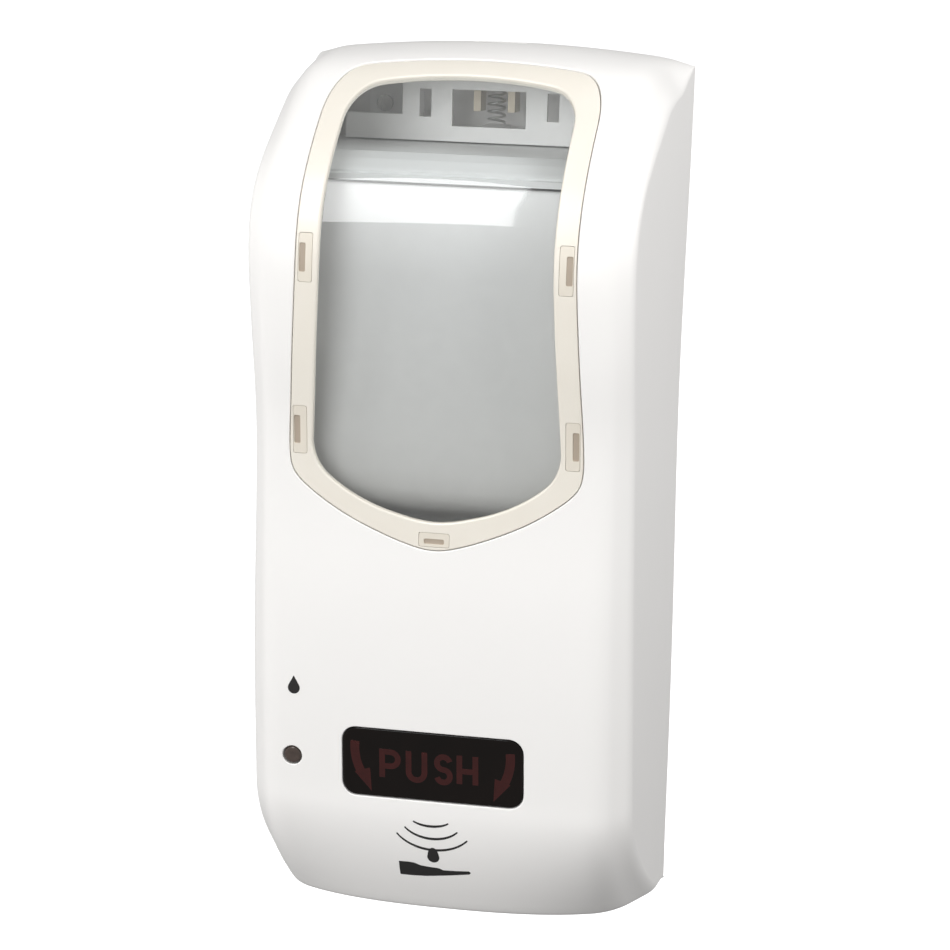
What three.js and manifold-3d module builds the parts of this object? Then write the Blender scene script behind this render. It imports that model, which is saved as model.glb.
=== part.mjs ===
// Wall mounted soap dispenser with a touch-free pump and a push cover, in millimetres.
// X runs across the wall, +Y into the wall, +Z up. Heights below are measured from the
// cover's bottom edge; the outer group then moves the origin to the middle of the wall face.
import * as THREE from "three";
import { mergeVertices } from "three/addons/utils/BufferGeometryUtils.js";
import Module from "manifold-3d";

const wasm = await Module();
wasm.setup();

// ---- driving dimensions -------------------------------------------------------------------
const overallWidth = 140;
const overallHeight = 308;
const overallDepth = 102.6;
const coverWall = 2.6;
const gap = 0.3; // between pieces that touch
const reach = 400; // longer than any cut that has to run right through
const finestDetail = 0.005; // no face or step is finer

// cover outline
const creaseHalf = 60.5; // half width of the front face, up to the soft crease
const sideDraft = 0.8; // the side walls lean in towards the front
const waistDepth = 1.4;
const waistHeight = 185;
const waistSpan = 75;
const topCrown = 3.6;
const frontCrown = 0.8;
const bandTop = 11.5; // how far back the side crease lies, at the top
const bandHood = 5.5;
const bandLow = 12.3;
const bandRear = 2.5; // at the wall, over the top
const bandFade = 30;
const chinHeight = 45;
const chinCentre = 17; // how far the chin draws back at the bottom
const chinCorner = 50;
const chinRoundness = 2.5;
const rearGapTop = 1;
const rearGapBottom = 12; // room for the cover's foot to be pushed towards the wall

// hinge rod at the foot of the cover
const pressTravel = 9.9; // of the hinge rod, towards the wall
const hingeY = -20;
const hingeZ = 10;
const rodRadius = 2;
const rodHalf = 65.4;
const lugRadius = 6;
const earHalf = 60.5;
const earThick = 3;

// window
const windowBottom = 137;
const ringWidth = 8;
const ringThick = 3;
const lensThick = 2.2;
const windowCornerX = 52;
const windowWaistX = 49.3;
const clipWidth = 5;
const clipLength = 17;
const clipHeights = [177, 238];
const bottomClipWidth = 11;

// display panel and status lens
const panelWidth = 65.6;
const panelHeight = 25.2;
const panelCorner = 5;
const panelZ = 58;
const panelThick = 2;
const statusX = -51.5;
const statusRadius = 3.2;

// back plate
const plateThick = 3;
const plateClear = 1.5; // between the plate's rim and the cover
const rimThick = 2.2;
const rimDepth = 14;

// batteries (C cells), against the chassis's rear wall
const cellRadius = 13.1;
const cellLength = 50;
const cellBetween = 0.5;
const cellSide = 1.7; // to the chassis's side wall
const cellInner = 2.4; // to the edge of the battery door
const cellFront = 1.3; // to the chassis's open front

// lower chassis
const leverHalf = 20;
const leverSide = 8.5; // from the lever to the edge of the battery door
const baseBottom = 20;
const baseTop = 138;
const baseWall = 2.2;
const coverPlateThick = 1.9;
const doorEdgeX = -leverHalf - leverSide;
const cellX = doorEdgeX - cellInner - cellRadius;
const baseHalf = cellRadius + cellSide + baseWall - cellX;
const cellRear = -plateThick - baseWall - 2 * gap - cellRadius;
const cellY = [cellRear, cellRear - 2 * cellRadius - cellBetween];
const baseFront = cellY[1] - cellRadius - cellFront;

// reservoir
const tankHalf = 57.5;
const tankFront = -84;
const tankBack = -6.5;
const tankWall = 2.4;
const tankTop = overallHeight - 46;
const neckRadius = 13;
const lidThick = 10;

// pump, on a vertical axis
const pumpY = -44;
const pumpRadius = 12;
const pumpBore = 9.1;
const pumpTop = 124;
const pumpBottom = 84;
const pistonZ = 92;
const pistonHeight = 6;
const stemRadius = 5.5;
const stemBore = 2;
const stemBottom = 24;
const nozzleBottom = 6;

// push lever
const leverY = -12;
const leverZ = 64;
const leverArm = 32; // from the axle to the yoke's pins
const leverThick = 3;
const leverBarY = -75;
const leverBarZ = 100;
const leverBarRadius = 4;
const axleRadius = 2;
const pinRadius = 2;

// gears
const rackPitchX = 17.5;
const rackModule = 1;
const rackTeeth = 6;
const pinionTeeth = 16;
const gearModule = 0.8;
const gearTeeth = 36;
const motorTeeth = 10;
const motorAngle = -20;
const backlash = 0.35;
const gearZ = 47;
const slimFront = -57; // the layer that holds the large gear
const slimBack = -52;
const rackFront = -50; // the layer that holds the rack
const rackBack = -44.5;
const motorRadius = 12;
const motorLength = 29;

// latch and top bracket
const latchY = -15;
const bracketFront = -27;
const bracketThick = 2;
const bracketHalf = 32;
const bracketTop = overallHeight - 12;
const bracketLow = overallHeight - 35.5;
const latchTop = overallHeight - 12.5;
const springCoilRadius = 3.1;
const springWire = 0.9;
const bracketScrewX = [-44, 44];
const bracketScrewZ = bracketLow + 11;
const bracketFootThick = 2.2;

// ---- materials ----------------------------------------------------------------------------
const finish = (color, roughness, metalness = 0) =>
  new THREE.MeshStandardMaterial({ color, roughness, metalness });
const whiteShell = finish(0xf4f2ee, 0.32);
const beigeRing = finish(0xddd2c0, 0.35);
const clearLens = finish(0xdfe3e2, 0.08);
const clipPlastic = finish(0xc9bfae, 0.45);
const darkPanel = finish(0x14100f, 0.12);
const smokeLens = finish(0x4a3f3a, 0.2);
const whiteInner = finish(0xe9e8e4, 0.5);
const greyPlastic = finish(0x9fa19f, 0.5);
const milkyTank = finish(0xc6c8c6, 0.4);
const darkRubber = finish(0x2c2c2c, 0.8);
const acetal = finish(0xe8e0cc, 0.4);
const steel = finish(0xb9babb, 0.3, 1);
const brass = finish(0xc5a45a, 0.35, 1);
const cellSleeve = finish(0x2f4f6b, 0.4);
const boardGreen = finish(0x24603c, 0.5);
const ledRed = finish(0x6e1512, 0.4);

// ---- solids -------------------------------------------------------------------------------
function toSolid(geometry) {
  const bare = geometry.clone();
  bare.deleteAttribute("normal");
  bare.deleteAttribute("uv");
  const welded = mergeVertices(bare, 1e-4);
  const mesh = new wasm.Mesh({
    numProp: 3,
    vertProperties: new Float32Array(welded.attributes.position.array),
    triVerts: new Uint32Array(welded.index.array),
  });
  return new wasm.Manifold(mesh);
}

function toGeometry(shape) {
  const mesh = shape.simplify(finestDetail).getMesh();
  const geometry = new THREE.BufferGeometry();
  geometry.setAttribute("position", new THREE.BufferAttribute(mesh.vertProperties, 3));
  geometry.setIndex(new THREE.BufferAttribute(mesh.triVerts, 1));
  geometry.computeVertexNormals();
  return geometry;
}

const outlineShape = (points) => new THREE.Shape(points.map(([u, v]) => new THREE.Vector2(u, v)));
const extrude = (shape, depth) =>
  new THREE.ExtrudeGeometry(shape, { depth, bevelEnabled: false, curveSegments: 4 });

// an outline in (x, z), running from y0 to y1
function prismY(shape, y0, y1) {
  const geometry = extrude(shape, y1 - y0);
  geometry.rotateX(Math.PI / 2);
  geometry.translate(0, y1, 0);
  return toSolid(geometry);
}

// an outline in (y, z), running from x0 to x1
function prismX(shape, x0, x1) {
  const geometry = extrude(shape, x1 - x0);
  const turn = new THREE.Matrix4().makeBasis(
    new THREE.Vector3(0, 1, 0), new THREE.Vector3(0, 0, 1), new THREE.Vector3(1, 0, 0));
  geometry.applyMatrix4(turn);
  geometry.translate(x0, 0, 0);
  return toSolid(geometry);
}

// an outline in (x, y), running from z0 to z1
function prismZ(shape, z0, z1) {
  const geometry = extrude(shape, z1 - z0);
  geometry.translate(0, 0, z0);
  return toSolid(geometry);
}

function block([x0, x1], [y0, y1], [z0, z1]) {
  const geometry = new THREE.BoxGeometry(x1 - x0, y1 - y0, z1 - z0);
  geometry.translate((x0 + x1) / 2, (y0 + y1) / 2, (z0 + z1) / 2);
  return toSolid(geometry);
}

// a cylinder between two points that differ along one axis only
function bar(radius, from, to, sides = 24, endRadius = radius) {
  const start = new THREE.Vector3(...from);
  const end = new THREE.Vector3(...to);
  const along = end.clone().sub(start);
  const geometry = new THREE.CylinderGeometry(endRadius, radius, along.length(), sides);
  geometry.applyQuaternion(new THREE.Quaternion().setFromUnitVectors(
    new THREE.Vector3(0, 1, 0), along.clone().normalize()));
  const middle = start.add(end).multiplyScalar(0.5);
  geometry.translate(middle.x, middle.y, middle.z);
  return toSolid(geometry);
}

// a body of revolution on a vertical axis; the profile holds [radius, height] pairs
function turned(profile, x, y, sides = 24) {
  const points = profile.map(([r, z]) => new THREE.Vector2(r, z));
  points.push(points[0].clone());
  const geometry = new THREE.LatheGeometry(points, sides);
  geometry.rotateX(Math.PI / 2);
  geometry.translate(x, y, 0);
  return fromLathe(geometry);
}

// collapsed triangles on the axis are left out, and the faces are turned outwards
function fromLathe(geometry) {
  const bare = geometry.clone();
  bare.deleteAttribute("normal");
  bare.deleteAttribute("uv");
  const welded = mergeVertices(bare, 1e-4);
  return closedSolid(welded.attributes.position.array, Array.from(welded.index.array));
}

function closedSolid(positions, triangles) {
  const kept = [];
  let volume = 0;
  const corner = (i) => new THREE.Vector3(
    positions[3 * i], positions[3 * i + 1], positions[3 * i + 2]);
  for (let t = 0; t < triangles.length; t += 3) {
    const [a, b, c] = triangles.slice(t, t + 3);
    if (a === b || b === c || c === a) continue;
    kept.push(a, b, c);
    volume += corner(a).dot(corner(b).cross(corner(c)));
  }
  if (volume < 0) kept.reverse();
  return new wasm.Manifold(new wasm.Mesh({
    numProp: 3,
    vertProperties: new Float32Array(positions),
    triVerts: new Uint32Array(kept),
  }));
}

// closed rings with equal counts, joined one to the next and capped at both ends;
// flat() gives a point's place in the plane that the caps are triangulated in
function loft(rings, flat) {
  const count = rings[0].length;
  const positions = rings.flat().flatMap((p) => [p.x, p.y, p.z]);
  const triangles = [];
  for (let r = 0; r + 1 < rings.length; r += 1) {
    for (let i = 0; i < count; i += 1) {
      const a = r * count + i;
      const b = r * count + (i + 1) % count;
      triangles.push(a, b, b + count, a, b + count, a + count);
    }
  }
  const cap = (ring) => {
    const contour = rings[ring].map(flat);
    const clockwise = THREE.ShapeUtils.isClockWise(contour);
    const faces = THREE.ShapeUtils.triangulateShape(contour, []);
    return { clockwise, faces: faces.map((f) => f.map((i) => i + ring * count)) };
  };
  const first = cap(0);
  const last = cap(rings.length - 1);
  // side faces run with the ring, so the first cap runs against it
  const withRing = (c) => c.faces.map((f) => orientWithRing(f, c.clockwise, rings, count, flat));
  for (const f of withRing(first)) triangles.push(f[2], f[1], f[0]);
  for (const f of withRing(last)) triangles.push(...f);
  return closedSolid(positions, triangles);
}

function orientWithRing(face, clockwise, rings, count, flat) {
  const [a, b, c] = face.map((i) => flat(rings[Math.floor(i / count)][i % count]));
  const area = (b.x - a.x) * (c.y - a.y) - (c.x - a.x) * (b.y - a.y);
  return (area < 0) === clockwise ? face : [face[2], face[1], face[0]];
}

const joined = (...shapes) => shapes.reduce((all, next) => all.add(next));
const cut = (shape, ...tools) => tools.reduce((left, tool) => left.subtract(tool), shape);

function roundedRect(x0, x1, z0, z1, radius) {
  const shape = new THREE.Shape();
  shape.moveTo(x0 + radius, z0);
  shape.lineTo(x1 - radius, z0);
  shape.absarc(x1 - radius, z0 + radius, radius, -Math.PI / 2, 0);
  shape.lineTo(x1, z1 - radius);
  shape.absarc(x1 - radius, z1 - radius, radius, 0, Math.PI / 2);
  shape.lineTo(x0 + radius, z1);
  shape.absarc(x0 + radius, z1 - radius, radius, Math.PI / 2, Math.PI);
  shape.lineTo(x0, z0 + radius);
  shape.absarc(x0 + radius, z0 + radius, radius, Math.PI, Math.PI * 1.5);
  return shape;
}

// ---- the cover's outer form ---------------------------------------------------------------
// Side profile on the centre line: over the top, down the hood and along the waisted front.
const profileCurve = new THREE.SplineCurve([
  [8, overallHeight - 1.4], [-20, overallHeight], [-38, overallHeight - 1.8],
  [-50, overallHeight - 4.8], [-60, overallHeight - 10.2], [-70, overallHeight - 17.8],
  [-81, overallHeight - 28], [-91, overallHeight - 39.6],
  [4.2 - overallDepth, overallHeight - 51.2], [0.7 - overallDepth, overallHeight - 63],
  [-overallDepth, overallHeight - 76], [2 - overallDepth, overallHeight - 103],
  [5.8 - overallDepth, overallHeight - 130], [7.1 - overallDepth, 150],
  [7.4 - overallDepth, 115], [9.2 - overallDepth, 80], [12.3 - overallDepth, chinHeight],
].map(([y, z]) => new THREE.Vector2(y, z)));
const profileSteps = 32;
const chinSteps = 6;
const profileSamples = profileCurve.getPoints(profileSteps).map((point, i) => {
  const tangent = profileCurve.getTangent(i / profileSteps);
  return { point, outward: new THREE.Vector2(tangent.y, -tangent.x) };
});

const ease = (t) => {
  const c = Math.min(1, Math.max(0, t));
  return c * c * (3 - 2 * c);
};
// 1 on the top face, 0 on the front face
const topness = (z) => ease((z - (overallHeight - 60)) / 50);
const bandDepth = (y, z) => {
  const hood = overallHeight - 46;
  const high = bandHood + (bandTop - bandHood) * ease((z - hood) / 38);
  if (z > hood) return bandRear + (high - bandRear) * ease(-y / bandFade);
  return bandHood + (bandLow - bandHood) * ease((hood - z) / 90);
};
const crownDrop = (x, z) => {
  const share = Math.min(1, Math.abs(x) / creaseHalf) ** 2;
  return share * (frontCrown + (topCrown - frontCrown) * topness(z));
};
const sideHalf = (z, y) => overallWidth / 2 + sideDraft * y / overallDepth
  - waistDepth * Math.exp(-(((z - waistHeight) / waistSpan) ** 2));
const chinRecess = (x) => {
  const share = Math.min(1, (2 * Math.abs(x)) / overallWidth);
  return chinCentre + (chinCorner - chinCentre) * (1 - Math.sqrt(1 - share ** chinRoundness));
};

// the profile at one distance across, set in by inset, with the chin below it
function profileAt(x, edge, inset) {
  const outer = profileSamples.map(({ point, outward }) => {
    const drop = crownDrop(x, point.y) + (edge ? bandDepth(point.x, point.y) : 0);
    return point.clone().addScaledVector(outward, -drop);
  });
  const foot = outer[outer.length - 1];
  for (let k = 1; k <= chinSteps; k += 1) {
    const t = k / chinSteps;
    outer.push(new THREE.Vector2(foot.x + chinRecess(x) * t ** 1.9, foot.y * (1 - t)));
  }
  const cornerInset = edge ? inset * 0.41 : 0;
  const line = outer.map((point, i) => {
    const before = outer[Math.max(0, i - 1)];
    const after = outer[Math.min(outer.length - 1, i + 1)];
    const along = after.clone().sub(before).normalize();
    return point.clone().add(new THREE.Vector2(-along.y, along.x)
      .multiplyScalar(inset + cornerInset));
  });
  const end = line[line.length - 1];
  const previous = line[line.length - 2];
  const slide = (inset - end.y) / (previous.y - end.y);
  end.lerp(previous, slide);
  end.y = inset;
  return line;
}

// the whole outer form, set in by inset, left open-ended past the wall
function coverForm(inset) {
  const behind = 8;
  const crease = creaseHalf - 0.41 * inset;
  const edge = overallWidth / 2 - inset;
  const across = [-edge, -crease, -40, 0, 40, crease, edge];
  const rings = across.map((x, i) => {
    const isEdge = i === 0 || i === across.length - 1;
    const line = profileAt(x, isEdge, inset);
    line[0].x = behind;
    line.push(new THREE.Vector2(behind, inset));
    return line.map((p) => new THREE.Vector3(x, p.x, p.y));
  });
  const body = loft(rings, (p) => new THREE.Vector2(p.y, p.z));
  return body.intersect(sideForm(inset, behind));
}

// left and right walls with their waist and draft
function sideForm(inset, behind) {
  const steps = 12;
  const front = -overallDepth - 10;
  const low = -5;
  const high = overallHeight + 5;
  const rings = [behind, front].map((y) => {
    const right = [];
    for (let i = 0; i <= steps; i += 1) {
      const z = low + ((high - low) * i) / steps;
      right.push(new THREE.Vector3(sideHalf(z, y) - inset, y, z));
    }
    const left = right.map((p) => new THREE.Vector3(-p.x, y, p.z)).reverse();
    return [...right, ...left];
  });
  return loft(rings, (p) => new THREE.Vector2(p.x, p.z));
}

const layer = (from, to) => coverForm(from).subtract(coverForm(to));
const outerForm = coverForm(0);
const innerForm = coverForm(coverWall);

// ---- the window's outline -----------------------------------------------------------------
// grow widens the outline all round; inside sets it in by the ring's width
function windowShape(grow, inside) {
  const side = grow - (inside ? ringWidth : 0);
  const top = overallHeight - 4.6 + grow - (inside ? 4.4 : 0);
  const bottom = windowBottom - grow + (inside ? 10 : 0);
  const low = windowCornerX + side;
  const waist = windowWaistX + side;
  const right = [
    [low, 178], [waist + 1.2, 207], [waist, 235], [waist - 0.1, overallHeight - 45],
    [waist - 0.2, overallHeight - 22],
  ].map(([x, z]) => new THREE.Vector2(x, z));
  const mirror = (points) => points.map((p) => new THREE.Vector2(-p.x, p.y)).reverse();
  const shape = new THREE.Shape();
  shape.moveTo(0, bottom);
  shape.quadraticCurveTo(low * 0.62, bottom + 1, low - 5, bottom + 22.5);
  shape.quadraticCurveTo(low, bottom + 28, right[0].x, right[0].y);
  shape.splineThru(right.slice(1));
  shape.bezierCurveTo(waist - 0.6, top - 9, waist - 4, top - 3.2, waist - 11, top - 2.4);
  shape.quadraticCurveTo(waist * 0.4, top, 0, top);
  shape.quadraticCurveTo(-waist * 0.4, top, 11 - waist, top - 2.4);
  shape.bezierCurveTo(4 - waist, top - 3.2, 0.6 - waist, top - 9,
    -right[4].x, right[4].y);
  shape.splineThru(mirror(right.slice(0, 4)));
  shape.quadraticCurveTo(-low, bottom + 28, 5 - low, bottom + 22.5);
  shape.quadraticCurveTo(-low * 0.62, bottom + 1, 0, bottom);
  return shape;
}

const throughFront = (shape) => prismY(shape, -reach, -30);

// the five clip pads, as boxes that run through the ring at its outer edge
function clipBox(index, grow) {
  const halfLength = clipLength / 2 + grow;
  if (index === 4) {
    return block([-bottomClipWidth / 2 - grow, bottomClipWidth / 2 + grow], [-reach, -50],
      [windowBottom + 1.4 - grow, windowBottom + 1.4 + clipWidth + grow]);
  }
  const height = clipHeights[index % 2];
  const outerX = height < 200 ? windowCornerX : windowWaistX;
  const reachIn = [outerX - 1 - clipWidth - grow, outerX - 1 + grow];
  const span = index < 2 ? reachIn.map((x) => -x).reverse() : reachIn;
  return block(span, [-reach, -50], [height - halfLength, height + halfLength]);
}

// ---- cover and what it carries ------------------------------------------------------------
function coverShell() {
  const rearCut = prismX(outlineShape([
    [-rearGapTop, overallHeight + 10], [60, overallHeight + 10], [60, -10],
    [-rearGapBottom, -10],
  ]), -reach, reach);
  const shell = outerForm.subtract(innerForm);
  // lugs that carry the hinge rod, and ribs that meet the push lever
  const inPad = (shape) => shape.intersect(outerForm);
  const lugs = [1, -1].map((side) => {
    const inner = side * (earHalf + 1);
    const outer = side * (overallWidth / 2 - 0.6);
    return inPad(bar(lugRadius, [inner, hingeY, hingeZ], [outer, hingeY, hingeZ]));
  });
  const rodHoles = [1, -1].map((side) => bar(rodRadius + gap,
    [side * (earHalf - 1), hingeY, hingeZ], [side * (rodHalf + 0.5), hingeY, hingeZ]));
  const ribs = [-14, 0, 14].map((x) => inPad(block([x - 1.3, x + 1.3],
    [-reach, leverBarY - leverBarRadius - 1], [leverBarZ - 8, leverBarZ + 22])));
  const catchRib = inPad(block([-8, 8], [latchY - 3.1, latchY - 0.7],
    [latchTop + 1.7, reach]));
  const body = joined(shell, ...lugs, ...ribs, catchRib);
  const footOpening = joined(
    block([-earHalf - 0.7, earHalf + 0.7], [-30, 60], [-10, coverWall + 0.1]),
    block([-27, 27], [-66, -29], [-10, coverWall + 0.1]));
  const keySlot = block([-10, 10], [latchY - 0.3, latchY + 5],
    [latchTop + 1, reach]);
  return cut(body, rearCut, ...rodHoles, footOpening, keySlot,
    throughFront(windowShape(gap, false)),
    prismY(roundedRect(-panelWidth / 2 - gap, panelWidth / 2 + gap,
      panelZ - panelHeight / 2 - gap, panelZ + panelHeight / 2 + gap, panelCorner + gap),
    -reach, -60),
    bar(statusRadius + gap, [statusX, -reach, panelZ], [statusX, -60, panelZ]));
}

function windowRing() {
  const band = throughFront(windowShape(0, false))
    .subtract(throughFront(windowShape(0, true)));
  const pads = [0, 1, 2, 3, 4].map((i) => clipBox(i, gap));
  return cut(band.intersect(layer(0.25, 0.25 + ringThick)), ...pads);
}

const windowLens = () => throughFront(windowShape(-gap, true))
  .intersect(layer(0.9, 0.9 + lensThick));

const windowClip = (i) => {
  const pad = clipBox(i, 0).intersect(layer(0.4, 2.6));
  const slotFrom = i === 4 ? [-3.6, 3.6] : null;
  const height = i === 4 ? windowBottom + 1.4 : clipHeights[i % 2];
  const outerX = height < 200 ? windowCornerX : windowWaistX;
  const edge = i < 2 ? [-(outerX - 1), -(outerX - 2.9)] : [outerX - 2.9, outerX - 1];
  const slot = slotFrom
    ? block(slotFrom, [-reach, -50], [height + 1, height + 3])
    : block(edge, [-reach, -50], [height - 5, height + 5]);
  return pad.subtract(slot.intersect(coverForm(-3).subtract(coverForm(1.6))));
};

const displayPanel = () => prismY(roundedRect(-panelWidth / 2, panelWidth / 2,
  panelZ - panelHeight / 2, panelZ + panelHeight / 2, panelCorner), -reach, -60)
  .intersect(layer(0.35, 0.35 + panelThick));

const statusLens = () => bar(statusRadius, [statusX, -reach, panelZ], [statusX, -60, panelZ])
  .intersect(layer(0.2, 4.2));

// ---- back plate ---------------------------------------------------------------------------
function backPlate() {
  const inset = coverWall + plateClear;
  const form = coverForm(inset);
  const slab = form.intersect(block([-reach, reach], [-plateThick, 0], [-reach, reach]));
  const rim = form.subtract(coverForm(inset + rimThick))
    .intersect(block([-reach, reach], [-rimDepth, -plateThick + 0.5], [hingeZ + 16, reach]));
  const keyNotch = block([-12, 12], [-reach, -plateThick], [overallHeight - 40, reach]);
  const ears = [1, -1].map((side) => {
    const span = [side * (earHalf - earThick), side * earHalf].sort((a, b) => a - b);
    return block(span, [hingeY - 6, -plateThick + 0.5],
      [coverWall + plateClear + 0.2, hingeZ + 7]);
  });
  // the slab's lower corners leave room for the open cover's foot
  const footCorners = [1, -1].map((side) => block(
    [side * (earHalf + 0.5), side * overallWidth].sort((a, b) => a - b), [-reach, reach],
    [-10, hingeZ + 13]));
  // slots that let the hinge rod travel towards the wall
  const slotTop = rodRadius + gap;
  const travelSlot = joined(
    block([-reach, reach], [hingeY, hingeY + pressTravel], [hingeZ - slotTop, hingeZ + slotTop]),
    bar(slotTop, [-reach, hingeY, hingeZ], [reach, hingeY, hingeZ], 20),
    bar(slotTop, [-reach, hingeY + pressTravel, hingeZ],
      [reach, hingeY + pressTravel, hingeZ], 20));
  // keyhole slots for the wall screws
  const keyholes = [[-42, 60], [42, 60], [-42, overallHeight - 55], [42, overallHeight - 55]]
    .map(([x, z]) => joined(
      bar(4.5, [x, -10, z - 6], [x, 5, z - 6], 20),
      bar(2.4, [x, -10, z + 3], [x, 5, z + 3], 16),
      block([x - 2.4, x + 2.4], [-10, 5], [z - 6, z + 3])));
  return cut(joined(slab, rim.subtract(keyNotch), ...ears), ...footCorners, travelSlot, ...keyholes,
    ...bracketScrewX.map((x) => bar(1.7, [x, -10, bracketScrewZ], [x, 5, bracketScrewZ], 14)));
}

const hingeRod = () => bar(rodRadius, [-rodHalf, hingeY, hingeZ], [rodHalf, hingeY, hingeZ]);

// ---- top bracket and latch ----------------------------------------------------------------
function topBracket() {
  const back = bracketFront + bracketThick;
  const rear = -plateThick - gap;
  const face = joined(
    block([-bracketHalf, bracketHalf], [bracketFront, back], [bracketLow, bracketTop]),
    block([-53, 53], [bracketFront, back], [bracketLow, bracketLow + 9]));
  const webs = [-1, 1].map((side) => block(
    [side * (bracketHalf - 1) - 1, side * (bracketHalf - 1) + 1], [back - 0.5, rear],
    [bracketLow, bracketTop]));
  const shelf = block([-53, 53], [back - 0.5, rear], [bracketLow, bracketLow + 2]);
  const seat = block([-4.2, 4.2], [back - 0.5, latchY + 5],
    [bracketLow + 1.5, overallHeight - 30]);
  const slots = [-23.5, 23.5].map((x) => block([x - 2.2, x + 2.2],
    [bracketFront - 1, back + 1], [overallHeight - 27, overallHeight - 17]));
  const middle = block([-13.6, 13.6], [bracketFront - 1, back + 1],
    [overallHeight - 30, overallHeight - 16.8]);
  const feet = bracketScrewX.map((x) => block([x - 6, x + 6], [rear - bracketFootThick, rear],
    [bracketLow + 1, bracketLow + 18]));
  const holes = bracketScrewX.map((x) => bar(1.7, [x, rear - 5, bracketScrewZ],
    [x, rear + 1, bracketScrewZ], 14));
  return cut(joined(face, ...webs, shelf, seat, ...feet), ...slots, middle, ...holes);
}

function latchSlider() {
  const legs = [-1, 1].map((side) => block(
    [side * 6.3 - 1.3, side * 6.3 + 1.3], [latchY - 4, latchY + 4],
    [latchTop - 12.5, latchTop - 2]));
  const nose = block([-7, 7], [latchY - 6, latchY - 3.4], [latchTop - 1, latchTop + 1.4]);
  const tray = block([-9, 9], [latchY - 6, latchY + 6], [latchTop - 2.6, latchTop]);
  return joined(tray, nose, ...legs);
}

// a closed helix of round wire, standing on a vertical axis
function coilSpring(x, y, z0, z1, radius, wire, turns) {
  class Helix extends THREE.Curve {
    getPoint(t) {
      const angle = t * turns * Math.PI * 2;
      const rise = z0 + wire + (z1 - z0 - 2 * wire) * t;
      return new THREE.Vector3(x + radius * Math.cos(angle), y + radius * Math.sin(angle), rise);
    }
  }
  const section = new THREE.Shape();
  section.absarc(0, 0, wire, 0, Math.PI * 2);
  return toSolid(new THREE.ExtrudeGeometry(section, {
    steps: Math.round(turns * 10), curveSegments: 3, bevelEnabled: false, extrudePath: new Helix(),
  }));
}

// ---- chassis ------------------------------------------------------------------------------
const sensorX = 9;
const sensorY = -52;
const screwPlaces = [[-20, 130], [54, 130], [-20, 26], [54, 26]];

function baseHousing() {
  const rear = -plateThick - gap;
  const outer = block([-baseHalf, baseHalf], [baseFront, rear], [baseBottom, baseTop]);
  const hollow = block([-baseHalf + baseWall, baseHalf - baseWall],
    [baseFront - 5, rear - baseWall], [baseBottom + baseWall, baseTop - baseWall]);
  const wall = block([doorEdgeX - 0.5, doorEdgeX + 1.5], [baseFront, rear - baseWall + 0.5],
    [baseBottom + 1, baseTop - 1]);
  const bosses = screwPlaces.map(([x, z]) => bar(3.4, [x, baseFront, z],
    [x, rear - baseWall + 0.5, z], 16));
  const towers = [1, -1].map((side) => block(
    [side * (leverHalf + 6.5) - 1.5, side * (leverHalf + 6.5) + 1.5],
    [leverY - 6, rear - baseWall + 0.5], [leverZ - 8, leverZ + 8]));
  const body = joined(outer.subtract(hollow), wall, ...bosses, ...towers);
  return cut(body,
    bar(neckRadius + gap, [0, pumpY, baseTop - 6], [0, pumpY, baseTop + 5]),
    bar(stemRadius + 3, [0, pumpY, baseBottom - 5], [0, pumpY, baseBottom + 5]),
    ...[-1, 1].map((side) => bar(3 + gap, [side * sensorX, sensorY, baseBottom - 5],
      [side * sensorX, sensorY, baseBottom + 5], 20)),
    bar(axleRadius + gap, [-leverHalf - 10, leverY, leverZ], [leverHalf + 10, leverY, leverZ], 20),
    ...screwPlaces.map(([x, z]) => bar(1.5, [x, baseFront - 1, z], [x, baseFront + 12, z], 14)));
}

function frontPlate() {
  const y0 = baseFront - gap - coverPlateThick;
  const plate = block([doorEdgeX + gap, baseHalf], [y0, baseFront - gap], [baseBottom, baseTop]);
  const leverSlot = block([-leverHalf - 4.5, leverHalf + 4.5], [y0 - 1, baseFront + 1],
    [leverBarZ - 24, leverBarZ + 20]);
  const boardPosts = [-22, 22, -22, 22].map((x, i) => bar(2.2,
    [x, y0 + 0.2, panelZ + (i < 2 ? 8 : -8)], [x, y0 - 3.6, panelZ + (i < 2 ? 8 : -8)], 14));
  const holes = screwPlaces.map(([x, z]) => bar(1.9, [x, y0 - 1, z], [x, baseFront + 1, z], 14));
  return cut(joined(plate, ...boardPosts), leverSlot, ...holes);
}

function batteryDoor() {
  const y0 = baseFront - gap - coverPlateThick;
  const plate = block([-baseHalf, doorEdgeX - gap], [y0, baseFront - gap], [baseBottom, baseTop]);
  const grips = [0, 1, 2, 3].map((i) => block([-52, -38], [y0 - 0.9, y0 + 0.2],
    [baseTop - 14 + i * 2.6, baseTop - 12.8 + i * 2.6]));
  return joined(plate, ...grips);
}

// a pan head screw with a cross recess and a plain shank, pointing into the wall; its head
// bears on the face at y = seat
function panScrew(x, z, seat, length, radius) {
  const face = seat - gap;
  const head = bar(3, [x, face - 1.8, z], [x, face, z], 18);
  const shank = bar(radius, [x, face - 0.2, z], [x, face + length, z], 12);
  const recess = joined(
    block([x - 1.7, x + 1.7], [face - 3, face - 0.9], [z - 0.35, z + 0.35]),
    block([x - 0.35, x + 0.35], [face - 3, face - 0.9], [z - 1.7, z + 1.7]));
  return joined(head, shank).subtract(recess);
}


// ---- batteries ----------------------------------------------------------------------------
const cellBottom = baseBottom + baseWall + 2;

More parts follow.
